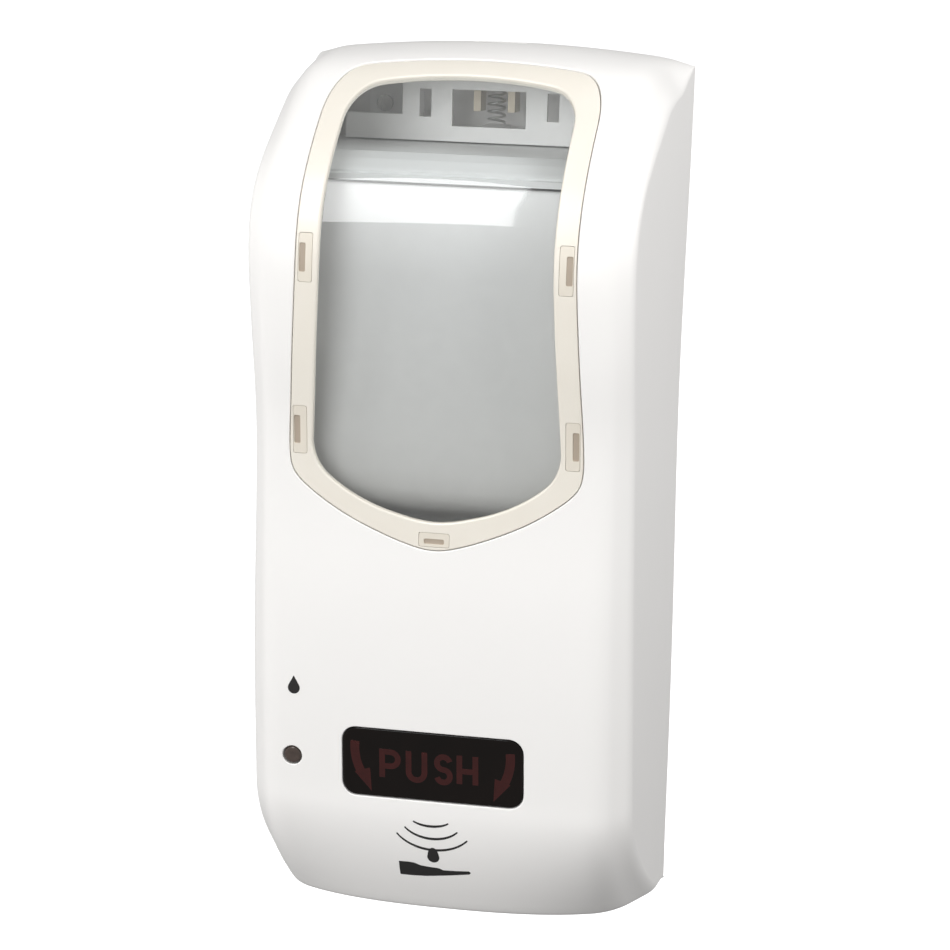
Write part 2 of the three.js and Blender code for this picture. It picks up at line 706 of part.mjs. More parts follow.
function battery(index) {
  const column = Math.floor(index / 2); // the two columns face opposite ways
  const low = cellBottom + (index % 2) * (cellLength + gap);
  const high = low + cellLength;
  const [flat, tip] = column === 0 ? [low, high] : [high, low];
  const shoulder = tip + Math.sign(flat - tip) * 1.8;
  return joined(
    bar(cellRadius, [cellX, cellY[column], flat], [cellX, cellY[column], shoulder], 28),
    bar(3.4, [cellX, cellY[column], (flat + tip) / 2], [cellX, cellY[column], tip], 16));
}

function contactStrip(z) {
  return block([cellX - 5, cellX + 5], [cellY[1] - 6, cellY[0] + 6], [z, z + 0.6]);
}

// ---- reservoir and lid --------------------------------------------------------------------
const tankBottom = baseTop + gap;

function tankProfile(inset) {
  const shape = new THREE.Shape();
  const front = tankFront + inset;
  const back = tankBack - inset;
  const low = tankBottom + inset;
  const high = tankTop + (inset > 0 ? 5 : 0);
  const radius = Math.max(2, 9 - inset);
  shape.moveTo(back, low);
  shape.lineTo(back, high);
  shape.lineTo(front + 6, high);
  shape.quadraticCurveTo(front, tankTop - 12, front, tankTop - 32);
  shape.lineTo(front, low + 10 + radius);
  shape.quadraticCurveTo(front, low + 7, front + radius, low + 5);
  shape.lineTo(front + 22, low);
  return shape;
}

function reservoir() {
  const rounded = (inset) => {
    const half = tankHalf - inset;
    const side = prismX(tankProfile(inset), -half, half);
    const plan = prismZ(roundedRect(-half, half, tankFront + inset - 0.01,
      tankBack - inset + 0.01, Math.max(3, 10 - inset)), tankBottom - 1, tankTop + 8);
    return side.intersect(plan);
  };
  const neck = bar(neckRadius, [0, pumpY, pumpTop + 2], [0, pumpY, tankBottom + 0.5]);
  const bore = bar(neckRadius - tankWall, [0, pumpY, pumpTop - 5],
    [0, pumpY, tankBottom + tankWall + 1]);
  const lip = prismZ(roundedRect(1 - tankHalf, tankHalf - 1, tankFront + 6.4, tankBack - 1, 8),
    tankTop - 3, tankTop);
  const inside = rounded(tankWall);
  return cut(joined(rounded(0), neck, lip), inside, bore);
}

function reservoirLid() {
  const half = tankHalf + 1.5;
  const low = tankTop + 0.9;
  const side = outlineShape([
    [tankBack, low], [tankBack, low + lidThick - 1], [tankFront + 18, low + lidThick - 1],
    [tankFront + 12.5, low + lidThick - 3], [tankFront + 7.5, low + 4.2],
    [tankFront + 6.6, low + 3.4], [tankFront + 6.6, low + 2.6], [tankFront + 5.2, low + 2.2],
    [tankFront + 5.2, low],
  ]);
  const plan = roundedRect(-half, half, tankFront + 5, tankBack + 0.1, 9);
  const body = prismX(side, -half, half).intersect(prismZ(plan, low - 1, low + lidThick + 2));
  const under = block([-half + 3, half - 3], [tankFront + 20, tankBack - 3],
    [low - 2, low + lidThick - 3.2]);
  return body.subtract(under);
}

function lidSeal() {
  const z0 = tankTop + gap;
  const outer = roundedRect(-tankHalf + 0.6, tankHalf - 0.6, tankFront + 8, tankBack - 0.6, 7);
  const inner = roundedRect(-tankHalf + 2.2, tankHalf - 2.2, tankFront + 9.6, tankBack - 2.2, 6);
  return prismZ(outer, z0, z0 + 0.35).subtract(prismZ(inner, z0 - 1, z0 + 2));
}

// ---- pump ---------------------------------------------------------------------------------
const pumpBody = () => turned([
  [2.6, pumpTop], [15, pumpTop], [15, pumpTop - 4], [pumpRadius, pumpTop - 4],
  [pumpRadius, pumpBottom], [stemRadius + 0.6, pumpBottom], [stemRadius + 0.6, pumpBottom + 3],
  [pumpBore, pumpBottom + 3], [pumpBore, pumpTop - 8], [2.6, pumpTop - 8],
], 0, pumpY);

const outletSeal = () => turned([
  [neckRadius - tankWall, pumpTop + gap], [neckRadius, pumpTop + gap],
  [neckRadius, pumpTop + 2 - gap], [neckRadius - tankWall, pumpTop + 2 - gap],
], 0, pumpY);

function valveBall() {
  const geometry = new THREE.SphereGeometry(3.2, 12, 8);
  geometry.translate(0, pumpY, pumpTop - 8 - 3.5);
  return fromLathe(geometry);
}

const pumpPiston = () => turned([
  [stemRadius + gap, pistonZ], [pumpBore - gap, pistonZ], [pumpBore - gap, pistonZ + 1.4],
  [pumpBore - 1.2, pistonZ + 2], [pumpBore - 1.2, pistonZ + 4.2],
  [pumpBore - gap, pistonZ + 4.8], [pumpBore - gap, pistonZ + pistonHeight],
  [stemRadius + gap, pistonZ + pistonHeight],
], 0, pumpY);

// the stem carries the piston between two collars
const pumpStem = () => turned([
  [stemBore, stemBottom], [stemRadius, stemBottom], [stemRadius, pistonZ + pistonHeight + gap],
  [stemRadius + 1.4, pistonZ + pistonHeight + gap],
  [stemRadius + 1.4, pistonZ + pistonHeight + 1.8],
  [stemBore, pistonZ + pistonHeight + 1.8],
], 0, pumpY);

const nozzleTip = () => turned([
  [1.3, nozzleBottom], [3, nozzleBottom], [5.2, nozzleBottom + 9], [6.4, nozzleBottom + 10],
  [6.4, stemBottom - gap], [1.3, stemBottom - gap],
], 0, pumpY);

const pinY = leverY - leverArm;

function pumpYoke() {
  const low = leverZ - 4.5;
  const high = leverZ + 4.5;
  const wings = block([-leverHalf + 0.8, leverHalf - 0.8], [pumpY - 6.5, pumpY + 6.5],
    [low, high]);
  const hub = bar(9.5, [0, pumpY, low], [0, pumpY, high + 1.5]);
  const rackBar = block([rackPitchX - 5.5, rackPitchX - 1.25 * rackModule],
    [rackFront, rackBack], [gearZ - 10.5, low + 1]);
  const body = joined(wings, hub, rackBar, ...rackToothSet());
  const pinSlots = [-1, 1].map((side) => block(
    [side * (leverHalf - 2.6) - 2.4, side * (leverHalf - 2.6) + 2.4],
    [pinY - pinRadius - 1.6, pinY + pinRadius + 1.6],
    [leverZ - pinRadius - gap, leverZ + pinRadius + gap]));
  return cut(body, bar(stemRadius + gap, [0, pumpY, low - 5], [0, pumpY, high + 5]),
    ...pinSlots);
}

// straight teeth on the rack, centred on the pinion's height
function rackToothSet() {
  const pitch = Math.PI * rackModule;
  const slope = Math.tan((20 * Math.PI) / 180);
  const half = pitch / 4 - backlash / 2;
  const tip = half - rackModule * 0.9 * slope;
  const root = half + rackModule * 1.3 * slope;
  return Array.from({ length: rackTeeth }, (_, i) => {
    const z = gearZ + (i - (rackTeeth - 1) / 2) * pitch;
    return prismY(outlineShape([
      [rackPitchX - 1.3 * rackModule, z - root], [rackPitchX + 0.9 * rackModule, z - tip],
      [rackPitchX + 0.9 * rackModule, z + tip], [rackPitchX - 1.3 * rackModule, z + root],
    ]), rackFront, rackBack);
  });
}

// three points in counter-clockwise order, joined by straight edges a radius away from them
function roundedTriangle(points, radius) {
  const shape = new THREE.Shape();
  const heading = (from, to) => Math.atan2(to[1] - from[1], to[0] - from[0]);
  points.forEach((corner, i) => {
    const arriving = heading(points[(i + 2) % 3], corner) - Math.PI / 2;
    const leaving = heading(corner, points[(i + 1) % 3]) - Math.PI / 2;
    shape.absarc(corner[0], corner[1], radius, arriving, leaving, false);
  });
  return shape;
}

// ---- push lever ---------------------------------------------------------------------------
function pushLever() {
  const barRel = [leverBarY, leverBarZ];
  const arms = [-1, 1].map((side) => {
    const x0 = side > 0 ? leverHalf : -leverHalf - leverThick;
    const outline = roundedTriangle([[leverY, leverZ], barRel, [pinY, leverZ]], 4.4);
    return prismX(outline, x0, x0 + leverThick);
  });
  const pins = [-1, 1].map((side) => bar(pinRadius, [side * (leverHalf + 0.5), pinY, leverZ],
    [side * (leverHalf - 3.6), pinY, leverZ], 18));
  const pushBar = bar(leverBarRadius, [-leverHalf - leverThick, ...barRel],
    [leverHalf + leverThick, ...barRel], 24);
  const stiffener = block([-leverHalf - 1, leverHalf + 1], [leverBarY, leverBarY + 2.2],
    [leverBarZ - 3.5, leverBarZ + 3.5]);
  return cut(joined(...arms, ...pins, pushBar, stiffener),
    bar(axleRadius + 0.1, [-40, leverY, leverZ], [40, leverY, leverZ], 20));
}

const leverAxle = () => bar(axleRadius, [-leverHalf - 8, leverY, leverZ],
  [leverHalf + 8, leverY, leverZ], 20);

// ---- gears --------------------------------------------------------------------------------
// an involute wheel's outline in (x, z); turn sets where the first tooth stands
function gearShape(centre, teeth, size, turn) {
  const pitch = (size * teeth) / 2;
  const base = pitch * Math.cos((20 * Math.PI) / 180);
  const tip = pitch + 0.9 * size;
  const root = pitch - 1.25 * size;
  const involute = (r) => {
    const t = Math.sqrt(Math.max(0, (r / base) ** 2 - 1));
    return t - Math.atan(t);
  };
  const halfTooth = Math.PI / (2 * teeth) - backlash / (2 * pitch);
  const radii = [root, pitch, tip];
  const points = [];
  for (let i = 0; i < teeth; i += 1) {
    const middle = turn + (i * 2 * Math.PI) / teeth;
    const side = (r) => halfTooth + involute(pitch) - involute(r);
    for (const r of radii) points.push([r, middle - side(r)]);
    for (const r of [...radii].reverse()) points.push([r, middle + side(r)]);
  }
  return outlineShape(points.map(([r, angle]) =>
    [centre[0] + r * Math.cos(angle), centre[1] + r * Math.sin(angle)]));
}

const pinionRadius = (rackModule * pinionTeeth) / 2;
const gearCentre = [rackPitchX + pinionRadius, gearZ];
const centreDistance = (gearModule * (gearTeeth + motorTeeth)) / 2;
const motorTurn = (motorAngle * Math.PI) / 180;
const motorCentre = [
  gearCentre[0] + centreDistance * Math.cos(motorTurn),
  gearCentre[1] + centreDistance * Math.sin(motorTurn),
];

function outputGear() {
  // the rack has a gap at the pinion's height, so a tooth of the pinion points at it
  const small = gearShape(gearCentre, pinionTeeth, rackModule, Math.PI);
  const large = gearShape(gearCentre, gearTeeth, gearModule, motorTurn);
  const body = joined(prismY(small, slimBack - 0.5, rackBack), prismY(large, slimFront, slimBack));
  return body.subtract(bar(1.5 + gap, [gearCentre[0], -70, gearCentre[1]],
    [gearCentre[0], -30, gearCentre[1]], 18));
}

function motorPinion() {
  const shape = gearShape(motorCentre, motorTeeth, gearModule,
    motorTurn + Math.PI + Math.PI / motorTeeth);
  return joined(prismY(shape, slimFront, slimBack),
    bar(1.5, [motorCentre[0], slimBack - 0.5, motorCentre[1]],
      [motorCentre[0], rackBack + 1, motorCentre[1]], 16));
}

const gearPlateFront = rackBack + 0.9;

function gearPlate() {
  const plate = block([baseHalf - 37, baseHalf - baseWall - gap],
    [gearPlateFront, gearPlateFront + 1.6], [baseBottom + baseWall + gap, gearZ + 14]);
  return cut(plate,
    bar(4, [motorCentre[0], -60, motorCentre[1]], [motorCentre[0], -20, motorCentre[1]], 18),
    bar(1.5 + gap, [gearCentre[0], -60, gearCentre[1]], [gearCentre[0], -20, gearCentre[1]], 18),
    bar(4, [54, -60, 26], [54, -20, 26], 18));
}

const gearAxle = () => joined(
  bar(1.5, [gearCentre[0], slimFront - 1, gearCentre[1]],
    [gearCentre[0], gearPlateFront + 5, gearCentre[1]], 18),
  bar(2.6, [gearCentre[0], gearPlateFront + 1.6 + gap, gearCentre[1]],
    [gearCentre[0], gearPlateFront + 5, gearCentre[1]], 18));

function motor() {
  const front = gearPlateFront + 1.6 + gap;
  const [x, z] = motorCentre;
  const can = bar(motorRadius, [x, front, z], [x, front + motorLength - 3, z], 32);
  const nosePiece = bar(3.4, [x, front - 1.2, z], [x, front + 0.3, z], 18);
  const rearCap = bar(motorRadius - 1.6, [x, front + motorLength - 3.2, z],
    [x, front + motorLength, z], 28);
  const flats = [1, -1].map((side) => block([x - 20, x + 20], [front - 0.5, front + 26],
    side > 0 ? [z + motorRadius - 2, z + 20] : [z - 20, z - motorRadius + 2]));
  const shaftHole = bar(1.5 + gap, [x, front - 3, z], [x, front + 4, z], 16);
  return joined(cut(can, ...flats), nosePiece, rearCap).subtract(shaftHole);
}

// ---- electronics --------------------------------------------------------------------------
const controlY = -34;
const controlBoard = () => cut(
  block([29, 57], [controlY, controlY + 1.6], [gearZ + 20, baseTop - 14]),
  bar(1.2, [32, controlY - 1, 120], [32, controlY + 3, 120], 12),
  bar(1.2, [54, controlY - 1, 71], [54, controlY + 3, 71], 12));
const boardChip = () => block([37, 49], [controlY - gap - 1.8, controlY - gap], [96, 108]);
const boardCapacitor = () => bar(3.2, [36, controlY - gap, 82], [36, controlY - gap - 9, 82], 18);
const displayBack = baseFront - gap - coverPlateThick - 3.9;
const displayBoard = () => block([-34, 34], [displayBack - 1.6, displayBack],
  [panelZ - 12, panelZ + 12]);
const ledDisplay = () => block([-29, 29], [displayBack - 1.6 - gap - 3, displayBack - 1.6 - gap],
  [panelZ - 8, panelZ + 8]);
const statusLed = () => bar(2.4, [statusX, baseFront - gap - coverPlateThick - gap, panelZ],
  [statusX, baseFront - gap - coverPlateThick - 6, panelZ], 18);
const sensorBoard = () => block([-16, 16], [sensorY - 4.6, sensorY + 2.2],
  [baseBottom + 12, baseBottom + 13.4])
  .subtract(bar(stemRadius + 1.5, [0, pumpY, 0], [0, pumpY, 60], 24));
const sensorEye = (side) => joined(
  bar(3, [side * sensorX, sensorY, baseBottom - 2], [side * sensorX, sensorY, baseBottom + 5], 20),
  bar(4, [side * sensorX, sensorY, baseBottom + baseWall + gap],
    [side * sensorX, sensorY, baseBottom + 5], 20),
  bar(2.2, [side * sensorX, sensorY, baseBottom + 4],
    [side * sensorX, sensorY, baseBottom + 12 - gap], 16));

// ---- assembly -----------------------------------------------------------------------------
const dispenser = new THREE.Group();
const fromFoot = new THREE.Group();
fromFoot.position.z = -overallHeight / 2;
dispenser.add(fromFoot);

function place(name, shape, material) {
  const mesh = new THREE.Mesh(toGeometry(shape), material);
  mesh.name = name;
  fromFoot.add(mesh);
}

place("cover_shell", coverShell(), whiteShell);
place("window_ring", windowRing(), beigeRing);
place("window_lens", windowLens(), clearLens);
for (let i = 0; i < 5; i += 1) place(`window_clip_${i + 1}`, windowClip(i), clipPlastic);
place("display_panel", displayPanel(), darkPanel);
place("status_lens", statusLens(), smokeLens);

place("back_plate", backPlate(), whiteInner);
place("hinge_rod", hingeRod(), steel);
place("top_bracket", topBracket(), whiteInner);
place("latch_slider", latchSlider(), acetal);
place("latch_spring", coilSpring(0, latchY, overallHeight - 30 + gap, latchTop - 2.6 - gap,
  springCoilRadius, springWire / 2, 5), steel);
for (const [i, x] of bracketScrewX.entries()) {
  place(`bracket_screw_${i + 1}`,
    panScrew(x, bracketScrewZ, -plateThick - gap - bracketFootThick, 5, 1.4), steel);
}

place("base_housing", baseHousing(), whiteInner);
place("front_plate", frontPlate(), whiteInner);
place("battery_door", batteryDoor(), greyPlastic);
for (const [i, [x, z]] of screwPlaces.entries()) {
  place(`plate_screw_${i + 1}`,
    panScrew(x, z, baseFront - gap - coverPlateThick, 11, 1.2), steel);
}
for (let i = 0; i < 4; i += 1) place(`battery_${i + 1}`, battery(i), cellSleeve);
place("battery_contact_low", contactStrip(cellBottom - gap - 0.6), steel);
place("battery_contact_high", contactStrip(cellBottom + 2 * cellLength + 2 * gap), steel);

place("reservoir", reservoir(), milkyTank);
place("reservoir_lid", reservoirLid(), whiteInner);
place("lid_seal", lidSeal(), darkRubber);
place("outlet_seal", outletSeal(), darkRubber);

place("pump_body", pumpBody(), greyPlastic);
place("valve_ball", valveBall(), steel);
place("pump_piston", pumpPiston(), darkRubber);
place("pump_stem", pumpStem(), acetal);
place("nozzle_tip", nozzleTip(), darkRubber);
place("pump_yoke", pumpYoke(), acetal);
place("pump_spring", coilSpring(0, pumpY, leverZ + 6 + gap, pumpBottom - gap, 8, 0.6, 4), steel);

place("push_lever", pushLever(), greyPlastic);
place("lever_axle", leverAxle(), steel);
place("output_gear", outputGear(), acetal);
place("motor_pinion", motorPinion(), brass);
place("gear_plate", gearPlate(), steel);
place("gear_axle", gearAxle(), steel);
place("motor", motor(), steel);

place("control_board", controlBoard(), boardGreen);
place("board_chip", boardChip(), darkRubber);
place("board_capacitor", boardCapacitor(), cellSleeve);
place("display_board", displayBoard(), boardGreen);
place("led_display", ledDisplay(), ledRed);
place("status_led", statusLed(), ledRed);
place("sensor_board", sensorBoard(), boardGreen);
place("sensor_emitter", sensorEye(-1), smokeLens);
place("sensor_receiver", sensorEye(1), smokeLens);

export default dispenser;
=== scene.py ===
import math

import bpy
import numpy as np
from mathutils import Matrix, Vector
from mathutils.geometry import delaunay_2d_cdt


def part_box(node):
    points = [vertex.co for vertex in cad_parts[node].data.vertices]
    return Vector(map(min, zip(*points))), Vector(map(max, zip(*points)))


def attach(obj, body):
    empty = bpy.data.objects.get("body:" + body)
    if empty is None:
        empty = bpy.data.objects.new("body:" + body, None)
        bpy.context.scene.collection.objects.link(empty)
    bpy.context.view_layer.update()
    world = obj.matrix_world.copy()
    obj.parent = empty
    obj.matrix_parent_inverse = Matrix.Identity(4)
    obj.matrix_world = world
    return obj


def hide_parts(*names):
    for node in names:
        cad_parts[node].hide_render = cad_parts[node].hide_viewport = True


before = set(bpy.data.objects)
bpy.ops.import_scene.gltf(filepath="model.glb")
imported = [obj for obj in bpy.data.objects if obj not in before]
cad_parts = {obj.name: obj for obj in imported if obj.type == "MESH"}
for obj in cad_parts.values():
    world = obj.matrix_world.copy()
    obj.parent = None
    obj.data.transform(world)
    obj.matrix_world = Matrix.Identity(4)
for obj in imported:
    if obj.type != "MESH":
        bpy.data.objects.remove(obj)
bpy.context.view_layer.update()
print("frame loaded")

# Shapes are worked out in millimetres, with heights from the foot of the cover.
mm = 0.001
coverLow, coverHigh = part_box("cover_shell")
foot = coverLow.z
tall = (coverHigh.z - coverLow.z) / mm
deep = -coverLow.y / mm
wide = 140


def inMetres(points):
    scaled = np.array(points, float) * mm
    scaled[:, 2] += foot
    return scaled


# shading

class Value:
    def __init__(self, shader, socket):
        self.shader = shader
        self.socket = socket

    def math(self, operation, first, second):
        return self.shader.node("ShaderNodeMath", {"operation": operation}, {0: first, 1: second})

    def __add__(self, other):
        return self.math("ADD", self, other)

    def __mul__(self, other):
        return self.math("MULTIPLY", self, other)

    def __rsub__(self, other):
        return self.math("SUBTRACT", other, self)


class Nodes:
    def __init__(self, tree):
        self.tree = tree

    def feed(self, socket, value):
        if isinstance(value, Value):
            self.tree.links.new(value.socket, socket)
        elif isinstance(value, (tuple, list)) and len(value) == 3 and socket.type == "RGBA":
            socket.default_value = (*value, 1)
        else:
            socket.default_value = value

    def node(self, kind, settings=None, sockets=None, output=0):
        made = self.tree.nodes.new(kind)
        for name, value in (settings or {}).items():
            if name == "stops":
                ramp = made.color_ramp
                while len(ramp.elements) < len(value):
                    ramp.elements.new(0.5)
                for element, (position, color) in zip(ramp.elements, value):
                    element.position = position
                    element.color = (*color, 1)
            else:
                setattr(made, name, value)
        for name, value in (sockets or {}).items():
            self.feed(made.inputs[name], value)
        return Value(self, made.outputs[output])

    def place(self):
        return self.node("ShaderNodeTexCoord", output="Object")

    def noise(self, scale, detail=2.0, distortion=0.0, where=None):
        sockets = {"Vector": where or self.place(), "Scale": scale, "Detail": detail,
                   "Distortion": distortion}
        return self.node("ShaderNodeTexNoise", {}, sockets, "Fac")

    def stretched(self, x, y, z):
        return self.node("ShaderNodeMapping", {}, {"Vector": self.place(), "Scale": (x, y, z)})

    def ramp(self, factor, *stops):
        return self.node("ShaderNodeValToRGB", {"stops": stops}, {"Fac": factor}, "Color")

    def blend(self, factor, first, second):
        sockets = {"Factor": factor, "A": first, "B": second}
        made = self.tree.nodes.new("ShaderNodeMix")
        made.data_type = "RGBA"
        for socket in made.inputs:
            wanted = sockets.get(socket.name)
            right = "Float" if socket.name == "Factor" else "Color"
            if wanted is not None and right in socket.identifier:
                self.feed(socket, wanted)
        return Value(self, next(s for s in made.outputs if s.identifier == "Result_Color"))

    def bump(self, height, strength, distance):
        return self.node("ShaderNodeBump", {}, {"Height": height, "Strength": strength,
                                                "Distance": distance}, "Normal")


class Shader(Nodes):
    def __init__(self, name, **sockets):
        self.material = bpy.data.materials.new(name)
        self.material.use_nodes = True
        super().__init__(self.material.node_tree)
        self.surface = self.tree.nodes["Principled BSDF"]
        self.output = self.tree.nodes["Material Output"]
        for socket, value in sockets.items():
            self.put(socket, value)

    def put(self, socket, value):
        words = {"color": "Base Color", "roughness": "Roughness", "metallic": "Metallic",
                 "coat": "Coat Weight", "coatRoughness": "Coat Roughness", "normal": "Normal",
                 "specular": "Specular IOR Level", "glow": "Emission Color",
                 "glowStrength": "Emission Strength"}
        self.feed(self.surface.inputs[words[socket]], value)


def mouldedPlastic(name, color, roughness, grain=0.35, tint=0.03, grainScale=2600):
    # fine spark-eroded grain, faint cloudiness and a slightly uneven gloss
    shader = Shader(name)
    cloud = shader.noise(38, 3)
    fine = shader.noise(grainScale, 2)
    smudge = shader.noise(95, 4, 0.6)
    darker = tuple(c * (1 - tint) for c in color)
    lighter = tuple(min(1, c * (1 + tint * 0.4)) for c in color)
    shader.put("color", shader.blend(cloud, darker, lighter))
    shader.put("roughness", smudge * 0.10 + (roughness - 0.05))
    shader.put("normal", shader.bump(fine, grain, 0.00004))
    return shader


def brushedSteel(name, color, roughness, along="z"):
    shader = Shader(name, metallic=1.0)
    stretch = {"x": (60, 2600, 2600), "y": (2600, 60, 2600), "z": (2600, 2600, 60)}[along]
    lines = shader.noise(1, 2, where=shader.stretched(*stretch))
    stain = shader.noise(120, 3)
    shader.put("color", shader.blend(stain, tuple(c * 0.82 for c in color), color))
    shader.put("roughness", lines * 0.2 + (roughness - 0.1))
    shader.put("normal", shader.bump(lines, 0.25, 0.00005))
    return shader


coverWhite = mouldedPlastic("coverWhite", (0.93, 0.915, 0.895), 0.33, grain=0.22, tint=0.012)
innerWhite = mouldedPlastic("innerWhite", (0.87, 0.865, 0.85), 0.5, grain=0.4, tint=0.03)
bracketWhite = mouldedPlastic("bracketWhite", (0.93, 0.93, 0.92), 0.42, grain=0.3, tint=0.03)
lidWhite = mouldedPlastic("lidWhite", (0.70, 0.715, 0.71), 0.36, grain=0.3, tint=0.03)
greyPlastic = mouldedPlastic("greyPlastic", (0.36, 0.37, 0.365), 0.5, tint=0.06)
acetal = mouldedPlastic("acetal", (0.72, 0.64, 0.51), 0.4, tint=0.05)
clipBeige = mouldedPlastic("clipBeige", (0.77, 0.715, 0.62), 0.4, tint=0.04)
# painted shade: a darker copy of the clip beige, used for the clip slot floors
clipShade = mouldedPlastic("clipShade", (0.46, 0.385, 0.31), 0.5, tint=0.06)
darkRubber = mouldedPlastic("darkRubber", (0.035, 0.035, 0.037), 0.75, grain=0.8, tint=0.2,
                            grainScale=1800)
boardGreen = mouldedPlastic("boardGreen", (0.03, 0.17, 0.08), 0.35, tint=0.25)
chipBlack = mouldedPlastic("chipBlack", (0.02, 0.02, 0.022), 0.6, tint=0.2)
capSleeve = mouldedPlastic("capSleeve", (0.03, 0.06, 0.13), 0.3, tint=0.1)
steel = brushedSteel("steel", (0.62, 0.62, 0.61), 0.3)
motorSteel = brushedSteel("motorSteel", (0.5, 0.5, 0.51), 0.38, along="y")
brass = brushedSteel("brass", (0.72, 0.5, 0.2), 0.3, along="y")


def filmed(name, darker, lighter, film, gloss, dust=None, **sockets):
    # two close tones and an uneven gloss that follow one soft pattern
    shader = Shader(name, **sockets)
    pattern = shader.noise(*film)
    spread, smoothest = gloss
    shader.put("color", shader.blend(pattern, darker, lighter))
    shader.put("roughness", pattern * spread + smoothest)
    if dust:
        scale, detail, strength, height = dust
        shader.put("normal", shader.bump(shader.noise(scale, detail), strength, height))
    return shader


def tankPlastic():
    # frosted, slightly cloudy, and painted darker towards the bottom as painted shade; the flow
    # marks run up the wall
    shader = Shader("tankMilky", coat=0.3, coatRoughness=0.25)
    height = shader.node("ShaderNodeSeparateXYZ", {}, {"Vector": shader.place()}, "Z")
    level = shader.node("ShaderNodeMapRange", {}, {"Value": height, "From Min": -0.02,
                                                   "From Max": 0.10}, "Result")
    flow = shader.noise(1, 3, 0.4, where=shader.stretched(55, 55, 14))
    mist = shader.noise(420, 2)
    # painted shade: the milky colour darkens from the top of the tank down to its bottom
    base = shader.ramp(level, (0.0, (0.42, 0.415, 0.395)), (0.35, (0.57, 0.57, 0.555)),
                       (1.0, (0.66, 0.665, 0.66)))
    shader.put("color", shader.blend(flow * 0.22, base, (0.68, 0.68, 0.67)))
    shader.put("roughness", mist * 0.14 + 0.36)
    shader.put("normal", shader.bump(flow + mist * 0.3, 0.12, 0.0006))
    return shader


def clearPlastic():
    # a trace of haze under a clear, glossy face that lets the light through
    shader = Shader("windowClear", roughness=0.3, color=(0.9, 0.905, 0.905))
    haze = shader.noise(70, 4, 0.8)
    through = shader.node("ShaderNodeBsdfTransparent", {}, {"Color": (0.985, 0.99, 0.99)})
    misted = shader.node("ShaderNodeMixShader", {},
                         {0: haze * 0.05 + 0.015, 1: through,
                          2: Value(shader, shader.surface.outputs[0])})
    gloss = shader.node("ShaderNodeBsdfGlossy", {}, {"Color": (1, 1, 1), "Roughness": 0.035})
    facing = shader.node("ShaderNodeFresnel", {}, {"IOR": 1.5})
    inward = shader.node("ShaderNodeNewGeometry", output="Backfacing")
    mix = shader.node("ShaderNodeMixShader", {}, {0: facing * (1 - inward), 1: misted, 2: gloss})
    shader.tree.links.new(mix.socket, shader.output.inputs["Surface"])
    return shader


def cellSleeve():
    shader = Shader("cellSleeve", coat=0.4, coatRoughness=0.15)
    spread = shader.node("ShaderNodeSeparateXYZ", {}, {"Vector": shader.place()}, "Z")
    wear = shader.noise(260, 4)
    bands = shader.node("ShaderNodeMath", {"operation": "PINGPONG"}, {0: spread, 1: 0.0265})
    top = shader.node("ShaderNodeMath", {"operation": "GREATER_THAN"}, {0: bands, 1: 0.0185})
    sleeve = shader.blend(wear, (0.012, 0.028, 0.06), (0.02, 0.045, 0.09))
    shader.put("color", shader.blend(top, sleeve, (0.46, 0.30, 0.13)))
    shader.put("roughness", wear * 0.15 + 0.25)
    shader.put("metallic", top * 0.6)
    return shader


# translucent satin plastic
ringBeige = filmed("ringBeige", (0.815, 0.765, 0.675), (0.86, 0.82, 0.74), (60, 3), (0.12, 0.28),
                   (2300, 2, 0.15, 0.00004), coat=0.25, coatRoughness=0.2)
tankMilky = tankPlastic()
windowClear = clearPlastic()
panelBlack = filmed("panelBlack", (0.004, 0.003, 0.0025), (0.008, 0.005, 0.004), (85, 4, 0.5),
                    (0.12, 0.12), (2400, 2, 0.05, 0.00003), specular=0.22, coat=0.1,
                    coatRoughness=0.08)
# unlit red segments under smoked plastic
segmentRed = filmed("segmentRed", (0.026, 0.004, 0.0035), (0.05, 0.007, 0.006), (300, 2),
                    (0.1, 0.2))
smoke = filmed("smokeLens", (0.045, 0.032, 0.026), (0.085, 0.06, 0.05), (500, 2), (0.1, 0.18),
               coat=0.5, coatRoughness=0.1)
ink = filmed("printInk", (0.012, 0.011, 0.011), (0.03, 0.028, 0.027), (3200, 3), (0.2, 0.4),
             (3200, 3, 0.2, 0.00002))
sleeve = cellSleeve()
print("materials made")


# meshes

def makePiece(name, points, faces, shader, body, normals=None):
    mesh = bpy.data.meshes.new(name)
    mesh.from_pydata(inMetres(points).tolist(), [], [tuple(map(int, f)) for f in faces])
    mesh.validate()
    mesh.polygons.foreach_set("use_smooth", [True] * len(mesh.polygons))
    mesh.materials.append(shader.material)
    if normals is not None:
        mesh.normals_split_custom_set_from_vertices(np.asarray(normals, float).tolist())
    piece = bpy.data.objects.new(name, mesh)
    bpy.context.scene.collection.objects.link(piece)
    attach(piece, body)
    return piece


def softEdges(piece, width):
    bevel = piece.modifiers.new("softEdges", "BEVEL")
    bevel.width = width * mm
    bevel.segments = 2
    bevel.limit_method = "ANGLE"
    bevel.angle_limit = math.radians(35)


def unit(vectors):
    size = np.linalg.norm(vectors, axis=-1, keepdims=True)
    return vectors / np.maximum(size, 1e-12)


def easeIn(t):
    c = np.clip(t, 0, 1)
    return c * c * (3 - 2 * c)


def throughKnots(knots, count):
    # a smooth curve through the knots
    pts = np.array(knots, float)
    lined = np.vstack([pts[:1], pts, pts[-1:]])
    where = np.minimum(np.linspace(0, len(pts) - 1, count + 1), len(pts) - 1 - 1e-9)
    i = where.astype(int)
    t = (where - i)[:, None]
    p0, p1, p2, p3 = lined[i], lined[i + 1], lined[i + 2], lined[i + 3]
    v0, v1 = (p2 - p0) / 2, (p3 - p1) / 2
    return ((2 * p1 - 2 * p2 + v0 + v1) * t ** 3 + (3 * p2 - 3 * p1 - 2 * v0 - v1) * t ** 2
            + v0 * t + p1)


